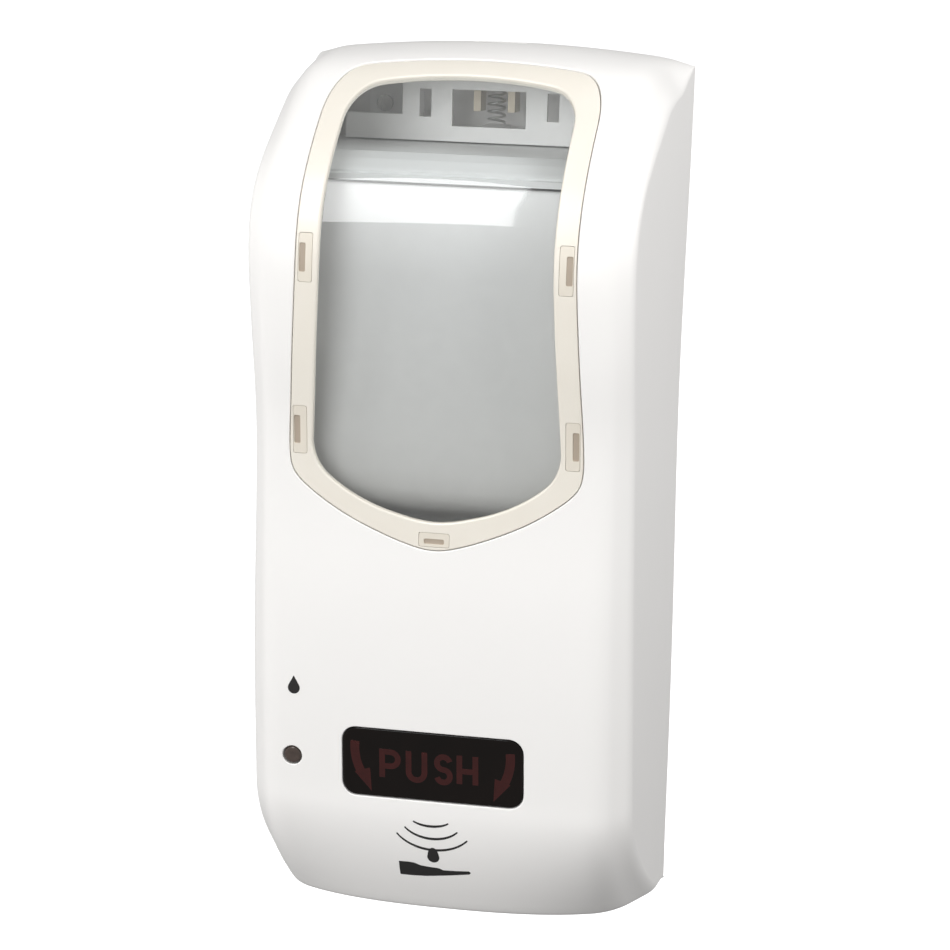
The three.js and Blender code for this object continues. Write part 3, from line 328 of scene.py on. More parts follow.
def bezier(points, count):
    t = np.linspace(0, 1, count + 1)[:, None]
    pts = [np.array(p, float)[None] for p in points]
    while len(pts) > 1:
        pts = [a * (1 - t) + b * t for a, b in zip(pts, pts[1:])]
    return pts[0]


def pathLength(points):
    steps = np.linalg.norm(np.diff(points, axis=0), axis=1)
    return np.concatenate([[0], np.cumsum(steps)])


def evenly(points, spacing, closed=True):
    pts = np.array(points, float)
    if closed:
        pts = np.vstack([pts, pts[:1]])
    run = pathLength(pts)
    keep = np.concatenate([[True], np.diff(run) > 1e-9])
    pts, run = pts[keep], run[keep]
    count = max(3, int(round(run[-1] / spacing)))
    at = np.linspace(0, run[-1], count + 1)
    out = np.column_stack([np.interp(at, run, pts[:, k]) for k in range(pts.shape[1])])
    return out[:-1] if closed else out


# the cover's outer surface

cover = {
    "wall": 2.6, "crease": 60.5, "frontRound": 6.5, "bandRound": 3.2, "sideRound": 2.8,
    "sideDraft": 0.8, "waistDepth": 1.4, "waistHeight": 185, "waistSpan": 75,
    "topCrown": 3.6, "frontCrown": 0.8, "bandTop": 11.5, "bandHood": 5.5, "bandLow": 12.3,
    "bandRear": 2.5, "bandFade": 30,
    "chinCentre": 17, "chinCorner": 50, "chinRoundness": 2.5, "rearTop": 1, "rearBottom": 12,
    "edgeRound": 0.45, "skinInset": 0.06,
    "footHalf": 62.1, "footFront": -30.5, "nozzleHalf": 27, "nozzleFront": -66,
}
profileKnots = [
    (8, tall - 1.4), (-20, tall), (-38, tall - 1.8), (-50, tall - 4.8), (-60, tall - 10.2),
    (-70, tall - 17.8), (-81, tall - 28), (-91, tall - 39.6), (4.2 - deep, tall - 51.2),
    (0.7 - deep, tall - 63), (-deep, tall - 76), (2 - deep, tall - 103), (5.8 - deep, tall - 130),
    (7.1 - deep, 150), (7.4 - deep, 115), (9.2 - deep, 80), (12.3 - deep, 45)]


def rearLine(z):
    # the cover's rear edge leans away from the wall towards the foot
    return (-cover["rearBottom"]
            + (cover["rearBottom"] - cover["rearTop"]) * (z + 10) / (tall + 20))


def bandDepth(y, z):
    # fades out towards the wall along the top
    hood = tall - 46
    high = cover["bandHood"] + (cover["bandTop"] - cover["bandHood"]) * easeIn((z - hood) / 38)
    high = cover["bandRear"] + (high - cover["bandRear"]) * easeIn(-y / cover["bandFade"])
    low = (cover["bandLow"] - cover["bandHood"]) * easeIn((hood - z) / 90)
    return np.where(z > hood, high, cover["bandHood"] + low)


def crownDrop(x, z):
    share = min(1, abs(x) / cover["crease"]) ** 2
    top = easeIn((z - (tall - 60)) / 50)
    return share * (cover["frontCrown"] + (cover["topCrown"] - cover["frontCrown"]) * top)


def sideHalf(z, y):
    swell = np.exp(-(((z - cover["waistHeight"]) / cover["waistSpan"]) ** 2))
    return wide / 2 + cover["sideDraft"] * y / deep - cover["waistDepth"] * swell


def sideNormal(z, y):
    lean = (z - cover["waistHeight"]) / cover["waistSpan"]
    slope = cover["waistDepth"] * np.exp(-lean ** 2) * 2 * lean / cover["waistSpan"]
    along = np.full_like(z, -cover["sideDraft"] / deep)
    return unit(np.stack([np.ones_like(z), along, -slope], axis=-1))


def chinRecess(x):
    share = min(1, 2 * abs(x) / wide)
    curve = 1 - math.sqrt(1 - share ** cover["chinRoundness"])
    return cover["chinCentre"] + (cover["chinCorner"] - cover["chinCentre"]) * curve


def smoothed(line, reach):
    # rounds a polyline within about reach, its two ends kept
    run = pathLength(line)
    width = np.gradient(run)
    gap = run[:, None] - run[None, :]
    weight = np.exp(-0.5 * (gap / reach) ** 2) * width[None, :]
    soft = weight @ line / weight.sum(axis=1, keepdims=True)
    end = np.minimum(run, run[-1] - run) / (3 * reach)
    hold = easeIn(end)[:, None]
    return line * (1 - hold) + soft * hold


profile = throughKnots(profileKnots, 640)
profile = smoothed(evenly(profile, 0.5, closed=False), 5.0)
profileOut = unit(np.gradient(profile, axis=0))[:, ::-1] * (1, -1)
startAt = int(np.argmax(profile[:, 0] < rearLine(profile[:, 1])))
profileAt = np.concatenate([np.arange(startAt, len(profile) - 4, 5), [len(profile) - 1]])
chinAt = np.concatenate([np.linspace(0, 0.9, 16)[1:], np.linspace(0.9, 1, 9)[1:]])
floorAt = np.concatenate([np.linspace(0, 0.08, 9)[1:], np.linspace(0.08, 1, 22)[1:]])


def sideLine(x, atEdge, inset):
    # one line down the cover at a distance across: top, front, chin and foot, as (y, z)
    points = profile[profileAt]
    drop = np.array([crownDrop(x, z) for z in points[:, 1]])
    if atEdge:
        drop = drop + bandDepth(points[:, 0], points[:, 1])
    line = points - profileOut[profileAt] * (drop + cover["skinInset"])[:, None]
    start = line[-1]
    back = chinRecess(x)
    chin = np.column_stack([start[0] + back * chinAt ** 1.9, start[1] * (1 - chinAt)])
    end = rearLine(0)
    base = np.column_stack([chin[-1, 0] + (end - chin[-1, 0]) * floorAt,
                            np.zeros(len(floorAt))])
    line = smoothed(np.vstack([line, chin, base]), 1.5)
    if inset:
        along = unit(np.gradient(line, axis=0))
        line = line + along[:, ::-1] * (-1, 1) * inset * (1 if not atEdge else 1.41)
        line[:, 1] = np.maximum(line[:, 1], inset)
        low = len(profileAt) + 8
        line[low:, 0] = np.maximum.accumulate(line[low:, 0])
        line[:, 0] = np.minimum(line[:, 0], rearLine(line[:, 1]))
    return line


def buildForm(inset):
    # columns of points from the middle to the crease at the side, and the side's two edges
    crease = cover["crease"] - 0.41 * inset
    inner = crease - cover["frontRound"]
    xs = np.linspace(0, inner, 19)
    front = np.stack([np.column_stack([np.full(len(stations), x), sideLine(x, False, inset)])
                      for x in xs], axis=1)
    creaseLine = sideLine(crease, False, inset)
    edgeLine = sideLine(wide / 2, True, inset)

    def band(x):
        share = ((x - crease) / (wide / 2 - crease))[:, None]
        flat = creaseLine * (1 - share) + edgeLine * share
        return np.column_stack([x, flat])

    x = np.full(len(stations), wide / 2 - inset - 1)
    for _ in range(4):
        at = band(x)
        x = sideHalf(at[:, 2], at[:, 1]) - inset
    corner = band(x)
    t = np.linspace(0, 1, 7)[1:]
    start, middle = front[:, -1], band(np.full(len(stations), crease))
    leave = band(np.full(len(stations), crease) + (x - crease) * cover["bandRound"] / 9)
    bend = [start * (1 - s) ** 2 + middle * 2 * s * (1 - s) + leave * s * s for s in t]
    arrive = band(x - (x - crease) * cover["sideRound"] / 12)
    flatBand = [leave * (1 - s) + arrive * s for s in (0.33, 0.67, 1)]
    rear = np.column_stack([rearLine(heightAt), heightAt])
    rear[:, 1] = np.maximum(rear[:, 1], inset)
    rear[:, 1] = np.minimum(rear[:, 1], corner[0, 2] - 0.05)
    span = np.linalg.norm(corner[:, 1:] - rear, axis=1)
    turn = np.minimum(0.5, cover["sideRound"] / np.maximum(span, 1e-6))
    over = corner[:, 1:] * (1 - turn)[:, None] + rear * turn[:, None]
    end = np.column_stack([sideHalf(over[:, 1], over[:, 0]) - inset, over])
    edge = [arrive * (1 - s) ** 2 + corner * 2 * s * (1 - s) + end * s * s for s in t]
    main = np.concatenate([front, np.stack(bend + flatBand + edge, axis=1)], axis=1)
    return {"main": main, "corner": corner[:, 1:], "rear": rear, "turn": turn, "inset": inset,
            "xs": xs}


stations = np.arange(len(profileAt) + len(chinAt) + len(floorAt))
centre = sideLine(0, False, 0)
stationRun = pathLength(centre)
creaseRun = pathLength(sideLine(wide / 2, True, 0))
heightAt = centre[0, 1] * (1 - creaseRun / creaseRun[-1])
heightAt = heightAt - 1.4 * (1 - creaseRun / creaseRun[-1])
outer = buildForm(0)
inner = buildForm(cover["wall"])
frontColumns = outer["xs"]
columnRun = np.concatenate([frontColumns, frontColumns[-1] + np.array(
    [1.7, 3.3, 5, 6.7, 8.3, 10, 12, 14, 16, 16.9, 17.8, 18.7, 19.6, 20.5, 21.4])])
sideStart = columnRun[-1]
sideSpan = np.linalg.norm(outer["corner"] - outer["rear"], axis=1) * (1 - outer["turn"])


def normalsOf(form):
    main = form["main"]
    mirrored = main[:, 1:4][:, ::-1] * (-1, 1, 1)
    whole = np.concatenate([mirrored, main], axis=1)
    down = np.gradient(whole, axis=0)
    across = np.gradient(whole, axis=1)
    found = unit(np.cross(down, across))[:, 3:]
    found[:, 0, 0] = 0
    return unit(found)


outer["normals"] = normalsOf(outer)
inner["normals"] = normalsOf(inner)
# the last column lies on the side wall
for form in (outer, inner):
    last = form["main"][:, -1]
    form["normals"][:, -1] = sideNormal(last[:, 2], last[:, 1])


def gridBlend(grid, row, column):
    i = np.clip(row.astype(int), 0, grid.shape[0] - 2)
    j = np.clip(column.astype(int), 0, grid.shape[1] - 2)
    a, b = (row - i)[:, None], (column - j)[:, None]
    return ((grid[i, j] * (1 - a) + grid[i + 1, j] * a) * (1 - b)
            + (grid[i, j + 1] * (1 - a) + grid[i + 1, j + 1] * a) * b)


def onSkin(domain, form=outer):
    # positions and outward normals for points given as (distance across, distance down)
    q, s = domain[:, 0], domain[:, 1]
    side = np.where(q < 0, -1.0, 1.0)
    far = np.abs(q)
    row = np.interp(s, stationRun, stations)
    column = np.interp(far, columnRun, np.arange(len(columnRun)))
    point = gridBlend(form["main"], row, column)
    normal = unit(gridBlend(form["normals"], row, column))
    beyond = far > sideStart
    if beyond.any():
        r = row[beyond]
        i = np.clip(r.astype(int), 0, len(stations) - 2)
        a = r - i

        def lerp(values):
            return (values[i].T * (1 - a) + values[i + 1].T * a).T

        share = np.clip((far[beyond] - sideStart) / np.maximum(lerp(sideSpan), 1e-6), -0.2, 1.2)
        turn = lerp(form["turn"])
        f = turn + share * (1 - turn)
        yz = lerp(form["corner"]) * (1 - f)[:, None] + lerp(form["rear"]) * f[:, None]
        half = sideHalf(yz[:, 1], yz[:, 0]) - form["inset"]
        point[beyond] = np.column_stack([half, yz])
        normal[beyond] = sideNormal(yz[:, 1], yz[:, 0])
    point[:, 0] *= side
    normal[:, 0] *= side
    return point, normal


def fromFront(points):
    # (x, z) on the front or hood into the skin's own distances
    pts = np.array(points, float)
    main = outer["main"]
    first = int(np.argmax(main[:, 0, 1] < -25))
    last = len(profileAt) + len(chinAt) - 1
    out = np.empty_like(pts)
    for n, (x, z) in enumerate(pts):
        c = np.interp(abs(x), frontColumns, np.arange(len(frontColumns)))
        j = min(int(c), len(frontColumns) - 2)
        heights = main[first:last, j, 2] * (1 - c + j) + main[first:last, j + 1, 2] * (c - j)
        out[n] = x, np.interp(-z, -heights, stationRun[first:last])
    return out


def fromFlat(points, rows):
    # (x, y) on the top or the foot into the skin's own distances
    pts = np.array(points, float)
    main = outer["main"][rows]
    run = stationRun[rows]
    out = np.empty_like(pts)
    for n, (x, y) in enumerate(pts):
        c = 0.0
        for _ in range(5):
            j = min(int(c), main.shape[1] - 2)
            column = main[:, j] * (1 - c + j) + main[:, j + 1] * (c - j)
            depth = column[:, 1]
            order = np.argsort(depth)
            s = np.interp(y, depth[order], run[order])
            r = np.interp(s, run, np.arange(len(run)))
            i = min(int(r), len(run) - 2)
            across = main[i, :, 0] * (1 - r + i) + main[i + 1, :, 0] * (r - i)
            c = float(np.interp(abs(x), across, np.arange(len(across))))
        out[n] = math.copysign(np.interp(c, np.arange(len(columnRun)), columnRun), x), s
    return out


def insideLoops(points, loops):
    inside = np.zeros(len(points), bool)
    px, py = points[:, 0], points[:, 1]
    for loop in loops:
        for (x0, y0), (x1, y1) in zip(loop, np.roll(loop, -1, axis=0)):
            if y0 == y1:
                continue
            crosses = (y0 > py) != (y1 > py)
            inside ^= crosses & (px < x0 + (py - y0) * (x1 - x0) / (y1 - y0))
    return inside


def clearOf(points, loops, gap):
    ok = np.ones(len(points), bool)
    for loop in loops:
        for start in range(0, len(loop), 200):
            part = loop[start:start + 200]
            near = np.linalg.norm(points[:, None] - part[None], axis=2).min(axis=1)
            ok &= near > gap
    return ok


def loopTurnsLeft(loop):
    x, y = loop[:, 0], loop[:, 1]
    return (x * np.roll(y, -1) - y * np.roll(x, -1)).sum() > 0


def inwardOf(loop, hole):
    # the direction in the skin, at each point of a loop, that leads into the material
    along = unit(np.roll(loop, -1, axis=0) - np.roll(loop, 1, axis=0))
    left = np.column_stack([-along[:, 1], along[:, 0]])
    return left if loopTurnsLeft(loop) != hole else -left


def skinPiece(name, outline, holes, top, bottom, rounding, shader, body,
              under=None, step=3.0, turns=4, fill=None):
    # a shell that follows the cover's skin between two depths, its rims rounded
    loops = [np.array(outline)] + [np.array(h) for h in holes]
    if not isinstance(rounding, (list, tuple)):
        rounding = [rounding] * len(loops)
    inward = [inwardOf(loop, n > 0) for n, loop in enumerate(loops)]
    pulled = [loop + push * r for loop, push, r in zip(loops, inward, rounding)]
    low, high = loops[0].min(axis=0), loops[0].max(axis=0)
    if fill is None:
        qs = np.arange(math.ceil(low[0] / step) * step, high[0], step)
        ss = np.arange(low[1] + step / 2, high[1], step)
    else:
        qs, ss = fill
    grid = np.array([(q, s) for q in qs for s in ss])
    if len(grid):
        grid = grid[insideLoops(grid, pulled)]
    if len(grid):
        grid = grid[clearOf(grid, pulled, min(1.1, step * 0.45))]
    flat = np.vstack(pulled + ([grid] if len(grid) else []))
    edges, starts, at = [], [], 0
    for loop in loops:
        starts.append(at)
        edges += [(at + k, at + (k + 1) % len(loop)) for k in range(len(loop))]
        at += len(loop)
    found = delaunay_2d_cdt([Vector(p) for p in flat], edges, [], 0, 1e-7)
    verts = np.array([tuple(v) for v in found[0]])
    # the triangulation may reorder points: bring them back to this script's order
    order = np.full(len(verts), -1)
    for new, olds in enumerate(found[3]):
        if olds:
            order[new] = olds[0]
    faces = np.array([[order[i] for i in f] for f in found[2] if len(f) == 3])
    faces = faces[(faces >= 0).all(axis=1)]
    faces = faces[insideLoops(flat[faces].mean(axis=1), pulled)]
    a, b, c = (flat[faces[:, k]] for k in range(3))
    area = (b - a)[:, 0] * (c - a)[:, 1] - (b - a)[:, 1] * (c - a)[:, 0]
    faces[area < 0] = faces[area < 0][:, ::-1]
    leastArea = 1e-4
    faces = faces[np.abs(area) > leastArea]
    point, normal = onSkin(flat)
    topPoints = point - normal * top
    if under is None:
        underPoints, underNormals = point - normal * bottom, -normal
    else:
        underPoints, underNormal = onSkin(flat, under)
        underNormals = -underNormal
    points, normals = [topPoints, underPoints], [normal, underNormals]
    count = len(flat)
    # distances down run against the outward normal, so the faces are turned over
    allFaces = [f[::-1] for f in faces] + [f + count for f in faces]
    total = 2 * count
    for n, loop in enumerate(loops):
        size = len(loop)
        ids = np.arange(starts[n], starts[n] + size)
        stepOut = inward[n] * 0.3
        ahead = onSkin(pulled[n] - stepOut)[0] - onSkin(pulled[n] + stepOut)[0]
        face, r = normal[ids], rounding[n]
        out = unit(ahead - face * (ahead * face).sum(axis=1, keepdims=True))
        rings = [ids]
        thick = bottom - top
        for k in range(1, turns + 1):
            angle = math.pi / 2 * k / turns
            points.append(topPoints[ids] + out * r * math.sin(angle)
                          - face * r * (1 - math.cos(angle)))
            normals.append(face * math.cos(angle) + out * math.sin(angle))
            rings.append(np.arange(total, total + size))
            total += size
        if under is None:
            fall = -face * (thick - min(r, thick / 3))
        else:
            fall = (underPoints[ids] - topPoints[ids]) * 0.82
        points.append(topPoints[ids] + out * r + fall)
        normals.append(out)
        rings.append(np.arange(total, total + size))
        total += size
        rings.append(ids + count)
        for upper, lowerRing in zip(rings, rings[1:]):
            for k in range(size):
                m = (k + 1) % size
                quad = (upper[k], upper[m], lowerRing[m], lowerRing[k])
                allFaces.append(quad if loopTurnsLeft(loop) == (n == 0) else quad[::-1])
    placed = np.vstack(points)
    placed[:, 0] = np.clip(placed[:, 0], coverLow.x / mm, coverHigh.x / mm)
    return makePiece(name, placed, allFaces, shader, body, np.vstack(normals))


def arc(x, z, radius, start, stop, count=24):
    angles = np.radians(np.linspace(start, stop, count))
    return np.column_stack([x + radius * np.cos(angles), z + radius * np.sin(angles)])


def cornerArcs(x0, x1, z0, z1, radius, count=8):
    corners = [(x1 - radius, z0 + radius, -90), (x1 - radius, z1 - radius, 0),
               (x0 + radius, z1 - radius, 90), (x0 + radius, z0 + radius, 180)]
    return [arc(x, z, radius, start, start + 90, count + 1) for x, z, start in corners]


def roundedBox(x0, x1, z0, z1, radius, spacing=1.0):
    return evenly(np.vstack(cornerArcs(x0, x1, z0, z1, radius)), spacing)


def circle(x, z, radius, count=32):
    angles = np.linspace(0, 2 * math.pi, count, endpoint=False)
    return np.column_stack([x + radius * np.cos(angles), z + radius * np.sin(angles)])


window = {"bottom": 137, "ring": 8, "cornerX": 52, "waistX": 49.3, "gap": 0.3,
          "clipHeights": (177, 238), "clipWide": 5, "clipEdge": 1.0,
          "clipLong": 17, "bottomClip": 11, "slotHalf": 5, "slotNear": 0.25, "slotFar": 2.5,
          "bottomSlot": (3.6, 1.0, 2.8)}


def windowOutline(grow, inside, spacing=1.5):
    side = grow - (window["ring"] if inside else 0)
    top = tall - 4.6 + grow - (4.4 if inside else 0)
    low, waist = window["cornerX"] + side, window["waistX"] + side
    edge = [(0, 137.2), (6, 138), (17, 141.5), (31, 147.6), (43, 155), (50.2, 161.5), (52, 167.5)]
    if inside:
        edge = [(0, 146.9), (5, 147.3), (11.5, 148.6), (22, 151.7), (32, 156.6), (40.6, 163.2),
                (44, 170.5)]
    outward = [(0, -1), (0.15, -0.98), (0.3, -0.95), (0.42, -0.9), (0.6, -0.8), (0.9, -0.45),
               (1, -0.05)]
    edge = np.array(edge) + grow * np.array(outward)
    knots = [(low, 178), (waist + 1.2, 207), (waist, 235), (waist - 0.1, tall - 45),
             (waist - 0.2, tall - 22)]
    right = np.vstack([
        throughKnots(np.vstack([edge, knots]), 110),
        bezier([knots[4], (waist - 0.6, top - 9), (waist - 4, top - 3.2),
                (waist - 11, top - 2.4)], 20)[1:],
        bezier([(waist - 11, top - 2.4), (waist * 0.4, top), (0, top)], 24)[1:]])
    left = right[1:-1][::-1] * (-1, 1)
    return evenly(smoothLoop(np.vstack([right, left])), spacing)


def smoothLoop(points, passes=6):
    loop = evenly(points, 0.8)
    for _ in range(passes):
        loop = loop * 0.5 + (np.roll(loop, 1, axis=0) + np.roll(loop, -1, axis=0)) * 0.25
    return loop


panel = {"wide": 65.6, "high": 25.2, "corner": 5, "z": 58, "thick": 2, "depth": 0.35,
         "statusX": -51.5, "statusRadius": 3.2}


def coverOutline():
    # the whole edge of the cover's skin, with the foot's opening notched into its end
    right = np.column_stack([sideStart + sideSpan, stationRun])
    floorRows = slice(len(profileAt) + len(chinAt) - 1, len(stations))
    half, front = cover["footHalf"], cover["footFront"]
    tip, tipFront = cover["nozzleHalf"], cover["nozzleFront"]
    rear = rearLine(0)
    notch = [(half, rear - 0.4)]
    notch += [(half, front + 2), (half - 0.6, front + 0.6), (half - 2, front)]
    notch += [(tip + 2, front), (tip + 0.6, front - 0.6), (tip, front - 2)]
    notch += [(tip, tipFront + 3), (tip - 0.9, tipFront + 0.9), (tip - 3, tipFront)]
    notch = np.array(notch)
    notch = np.vstack([notch, (notch * (-1, 1))[::-1]])
    bottom = fromFlat(evenly(notch, 2.0, closed=False), floorRows)
    end = stationRun[-1]
    join = np.array([(sideStart + sideSpan[-1], end), (bottom[0, 0] + 0.8, end)])
    other = (join * (-1, 1))[::-1]
    topEdge = np.array([(-sideStart - sideSpan[0], 0), (sideStart + sideSpan[0], 0)])
    loop = np.vstack([topEdge, right[1:-1], join, bottom, other, (right[1:-1] * (-1, 1))[::-1]])
    return evenly(loop, 2.2)


def coverHoles():
    g = window["gap"]
    halfX, halfZ = panel["wide"] / 2 + g, panel["high"] / 2 + g
    keyHalf, keyRear, keyFront = 10, -10, -15.3
    topRows = slice(0, int(np.argmax(outer["main"][:, 0, 1] < -40)))
    return [
        fromFront(windowOutline(g, False)),
        fromFront(roundedBox(-halfX, halfX, panel["z"] - halfZ, panel["z"] + halfZ,
                             panel["corner"] + g)),
        fromFront(circle(panel["statusX"], panel["z"], panel["statusRadius"] + g, 28)),
        fromFlat(roundedBox(-keyHalf, keyHalf, keyFront, keyRear, 0.8, 0.8), topRows)]


qColumns = np.concatenate([-columnRun[1:][::-1], columnRun])
qSides = sideStart + np.arange(3.5, sideSpan.max(), 4)
qGrid = np.concatenate([-qSides[::-1], qColumns, qSides])
sGrid = stationRun[1:-1]
shellCover = skinPiece("coverShell", coverOutline(), coverHoles(), 0, cover["wall"],
                       cover["edgeRound"], coverWhite, "cover", under=inner,
                       fill=(qGrid, sGrid))
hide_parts("cover_shell")
print("cover made", len(shellCover.data.polygons))


# window ring, clips and lens

def clipPads(grow):
    pads = []
    halfLong = window["clipLong"] / 2 + grow
    for n, height in enumerate(window["clipHeights"]):
        outerX = window["cornerX"] if n == 0 else window["waistX"]
        for side in (-1, 1):
            ends = sorted((side * (outerX - 1 - window["clipWide"] - grow),
                           side * (outerX - window["clipEdge"] + grow)))
            pads.append((*ends, height - halfLong, height + halfLong))
    low = window["bottom"] + 1.4
    halfWide = window["bottomClip"] / 2 + grow
    pads.append((-halfWide, halfWide, low - grow, low + window["clipWide"] + grow))
    return pads


ring = skinPiece("windowRing", fromFront(windowOutline(0, False)),
                 [fromFront(windowOutline(0, True))]
                 + [fromFront(roundedBox(*pad, 0.5, 0.8)) for pad in clipPads(0.05)],
                 0.25, 3.25, [0.35, 0.8] + [0.1] * 5, ringBeige, "cover", step=2.5)
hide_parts("window_ring")
lens = skinPiece("windowLens", fromFront(windowOutline(-0.3, True)), [], 0.9, 3.1, 0.35,
                 windowClear, "cover", step=4)
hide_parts("window_lens")

clipNodes = ["window_clip_1", "window_clip_3", "window_clip_2", "window_clip_4", "window_clip_5"]
for number, (pad, node) in enumerate(zip(clipPads(-0.05), clipNodes)):
    x0, x1, z0, z1 = pad
    midZ = (z0 + z1) / 2
    half, near, far = window["slotHalf"], window["slotNear"], window["slotFar"]
    if node == clipNodes[-1]:
        across, under, over = window["bottomSlot"]
        slot = (-across, across, z0 + under, z0 + over)
    elif x0 < 0:
        slot = (x0 + near, x0 + far, midZ - half, midZ + half)
    else:
        slot = (x1 - far, x1 - near, midZ - half, midZ + half)
    clip = skinPiece("clip" + str(number + 1), fromFront(roundedBox(*pad, 0.5, 0.8)),
                     [fromFront(roundedBox(*slot, 0.3, 0.6))], 0.3, 2.6, 0.12, clipBeige,
                     "cover", step=2)
    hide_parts(node)
    x0, x1, z0, z1 = slot
    # painted shade: a darker floor laid in each clip's slot stands in for the shade inside it
    skinPiece("clipFloor" + str(number + 1),
              fromFront(roundedBox(x0 - 0.1, x1 + 0.1, z0 - 0.1, z1 + 0.1, 0.3, 0.6)), [], 0.75,
              2.5, 0.05, clipShade, "cover", step=2, turns=1)
print("window made")

# display panel, status light and printed symbols

halfWide, halfHigh = panel["wide"] / 2, panel["high"] / 2
glass = skinPiece("displayGlass", fromFront(roundedBox(-halfWide, halfWide,
                  panel["z"] - halfHigh, panel["z"] + halfHigh, panel["corner"])),
                  [], panel["depth"], panel["depth"] + panel["thick"], 0.5, panelBlack, "cover",
                  step=3)
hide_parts("display_panel")
statusGlass = skinPiece("statusGlass", fromFront(circle(panel["statusX"], panel["z"],
                        panel["statusRadius"], 28)), [], 0.1, 4.2, 0.9, smoke, "cover",
                        step=1.2)
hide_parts("status_lens")


def inked(name, outline, depth, shader, spacing=0.6):
    # a thin printed or lit shape laid on the skin
    return skinPiece(name, fromFront(evenly(outline, spacing)), [], depth - 0.03, depth + 0.03,
                     0.01, shader, "cover", step=2.5, turns=1)


def stroke(points, width):
    pts = np.array(points, float)
    widths = np.broadcast_to(np.array(width, float), (len(pts),))[:, None]
    along = unit(np.gradient(pts, axis=0))
    left = np.column_stack([-along[:, 1], along[:, 0]])
    return np.vstack([pts + left * widths / 2, (pts - left * widths / 2)[::-1]])


waves = [[(-7.0, 37.4), (-3.8, 35.4), (2.8, 35.4), (5.9, 37.6)],
         [(-10.2, 34.9), (-5.6, 29.9), (4.4, 29.7), (9.2, 34.6)],
         [(-13.2, 32.2), (-7.4, 24.9), (6.2, 24.6), (12.7, 31.6)]]
for n, line in enumerate(waves):
    line = bezier(line, 28)
    widths = 0.95 * (0.6 + 0.4 * np.sin(np.linspace(0, math.pi, len(line))))
    inked("wave" + str(n + 1), stroke(line, widths), -0.02, ink, 0.5)
drop = np.vstack([arc(-0.2, 23.6, 2.2, -200, 20, 22), bezier([(1.6, 25.6), (1.2, 27.4),
                  (-0.2, 28.2), (-1.6, 27.4), (-2.0, 25.6)], 10)])
inked("dropSign", drop, -0.06, ink, 0.4)
hand = [(-13.2, 20.6), (-9.8, 20.7), (-7.4, 20.5), (-5.2, 19.6), (-2.0, 19.3), (1.4, 19.1),
        (3.0, 18.4), (6.8, 18.5), (12.6, 18.9), (13.1, 18.3), (12.6, 17.6), (7.0, 16.7),
        (2.6, 16.0), (-3.6, 15.2), (-9.0, 14.9), (-13.2, 14.9)]
inked("handSign", np.array(hand), -0.02, ink, 0.5)
# a plain droplet where the cover is marked
smallDrop = np.vstack([arc(-50.6, 83.4, 2.2, -205, 25, 22), [(-50.6, 88.0)]])
inked("markDrop", smallDrop, -0.02, ink, 0.4)

letterLook = {"z": 57.6, "high": 9.6, "bar": 2.1}


def barLetter(strokes, x, name):
    for n, points in enumerate(strokes):
        inked(name + str(n + 1), stroke(evenly(np.array(points) + (x, 0), 0.5, closed=False),
              letterLook["bar"]), panel["depth"] - 0.02 - 0.004 * n, segmentRed, 0.7)


high = letterLook["high"]
zLow, zMid, zHigh = (letterLook["z"] - high / 2, letterLook["z"], letterLook["z"] + high / 2)
tipZ = zHigh + 1.05
letters = [
    [[(0, zLow), (0, tipZ)],
     np.vstack([[(0.9, zMid - 0.5)], arc(3.2, zMid + 2.15, 2.65, -90, 90, 12), [(0.9, zHigh)]])],
    [np.vstack([[(0, tipZ)], arc(2.9, zLow + 2.9, 2.9, 180, 360, 16), [(5.8, tipZ)]])],
    [np.vstack([arc(2.8, zMid + 2.4, 2.4, 15, 270, 14), arc(2.8, zMid - 2.4, 2.4, 90, -165, 14)])],
    [[(0, zLow), (0, tipZ)], [(5.8, zLow), (5.8, tipZ)], [(0.9, zMid), (4.9, zMid)]]]
starts = [-18.3, -8.6, 1.3, 9.9]
for n, (strokes, x) in enumerate(zip(letters, starts)):
    barLetter(strokes, x, "sign" + str(n + 1))
for side in (-1, 1):
    bend = bezier([(side * 28.2, zHigh + 3.2), (side * 28.9, zMid + 1.5),
                   (side * 25.6, zLow + 0.6)], 20)
    name = "arrowLeft" if side < 0 else "arrowRight"
    inked(name, stroke(bend, 3.3), panel["depth"] - 0.02, segmentRed, 0.7)
    head = np.array([(side * 2.8, 0.6), (-side * 2.9, 2.6), (-side * 3.4, -6.2)]) + bend[-1]
    inked(name + "Head", head, panel["depth"] - 0.03, segmentRed, 0.7)
print("panel made")


# reservoir

tank = {"half": 57.5, "front": -84, "back": -6.5, "wall": 2.4, "corner": 10, "bottom": 138.3}
tankTop = (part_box("reservoir")[1].z - foot) / mm


def tankFrontAt(z, inset):
    front, low = tank["front"] + inset, tank["bottom"] + inset
    line = np.vstack([
        [(front + 22, low)],
        bezier([(front + 20, low + 2), (front + 17, low + 6.4), (front + 12, low + 7.1)], 8),
        bezier([(front + 11.5, low + 7.2), (front + 1.5, low + 9), (front, low + 19)], 10),
        bezier([(front, tankTop - 32), (front, tankTop - 12), (front + 6, tankTop)], 16)])
    return float(np.interp(z, line[:, 1], line[:, 0]))


def ringStack(name, loops, shader, body, looped=False):
    # a skin over loops that all have the same number of points, closed at both ends
    count = len(loops[0])
    rows = len(loops)
    faces = []
    for r in range(rows if looped else rows - 1):
        for k in range(count):
            m = (k + 1) % count
            n = (r + 1) % rows
            faces.append((r * count + k, r * count + m, n * count + m, n * count + k))
    if not looped:
        faces.append(tuple(range(count))[::-1])
        faces.append(tuple(range((rows - 1) * count, rows * count)))
    return makePiece(name, np.vstack(loops), faces, shader, body)


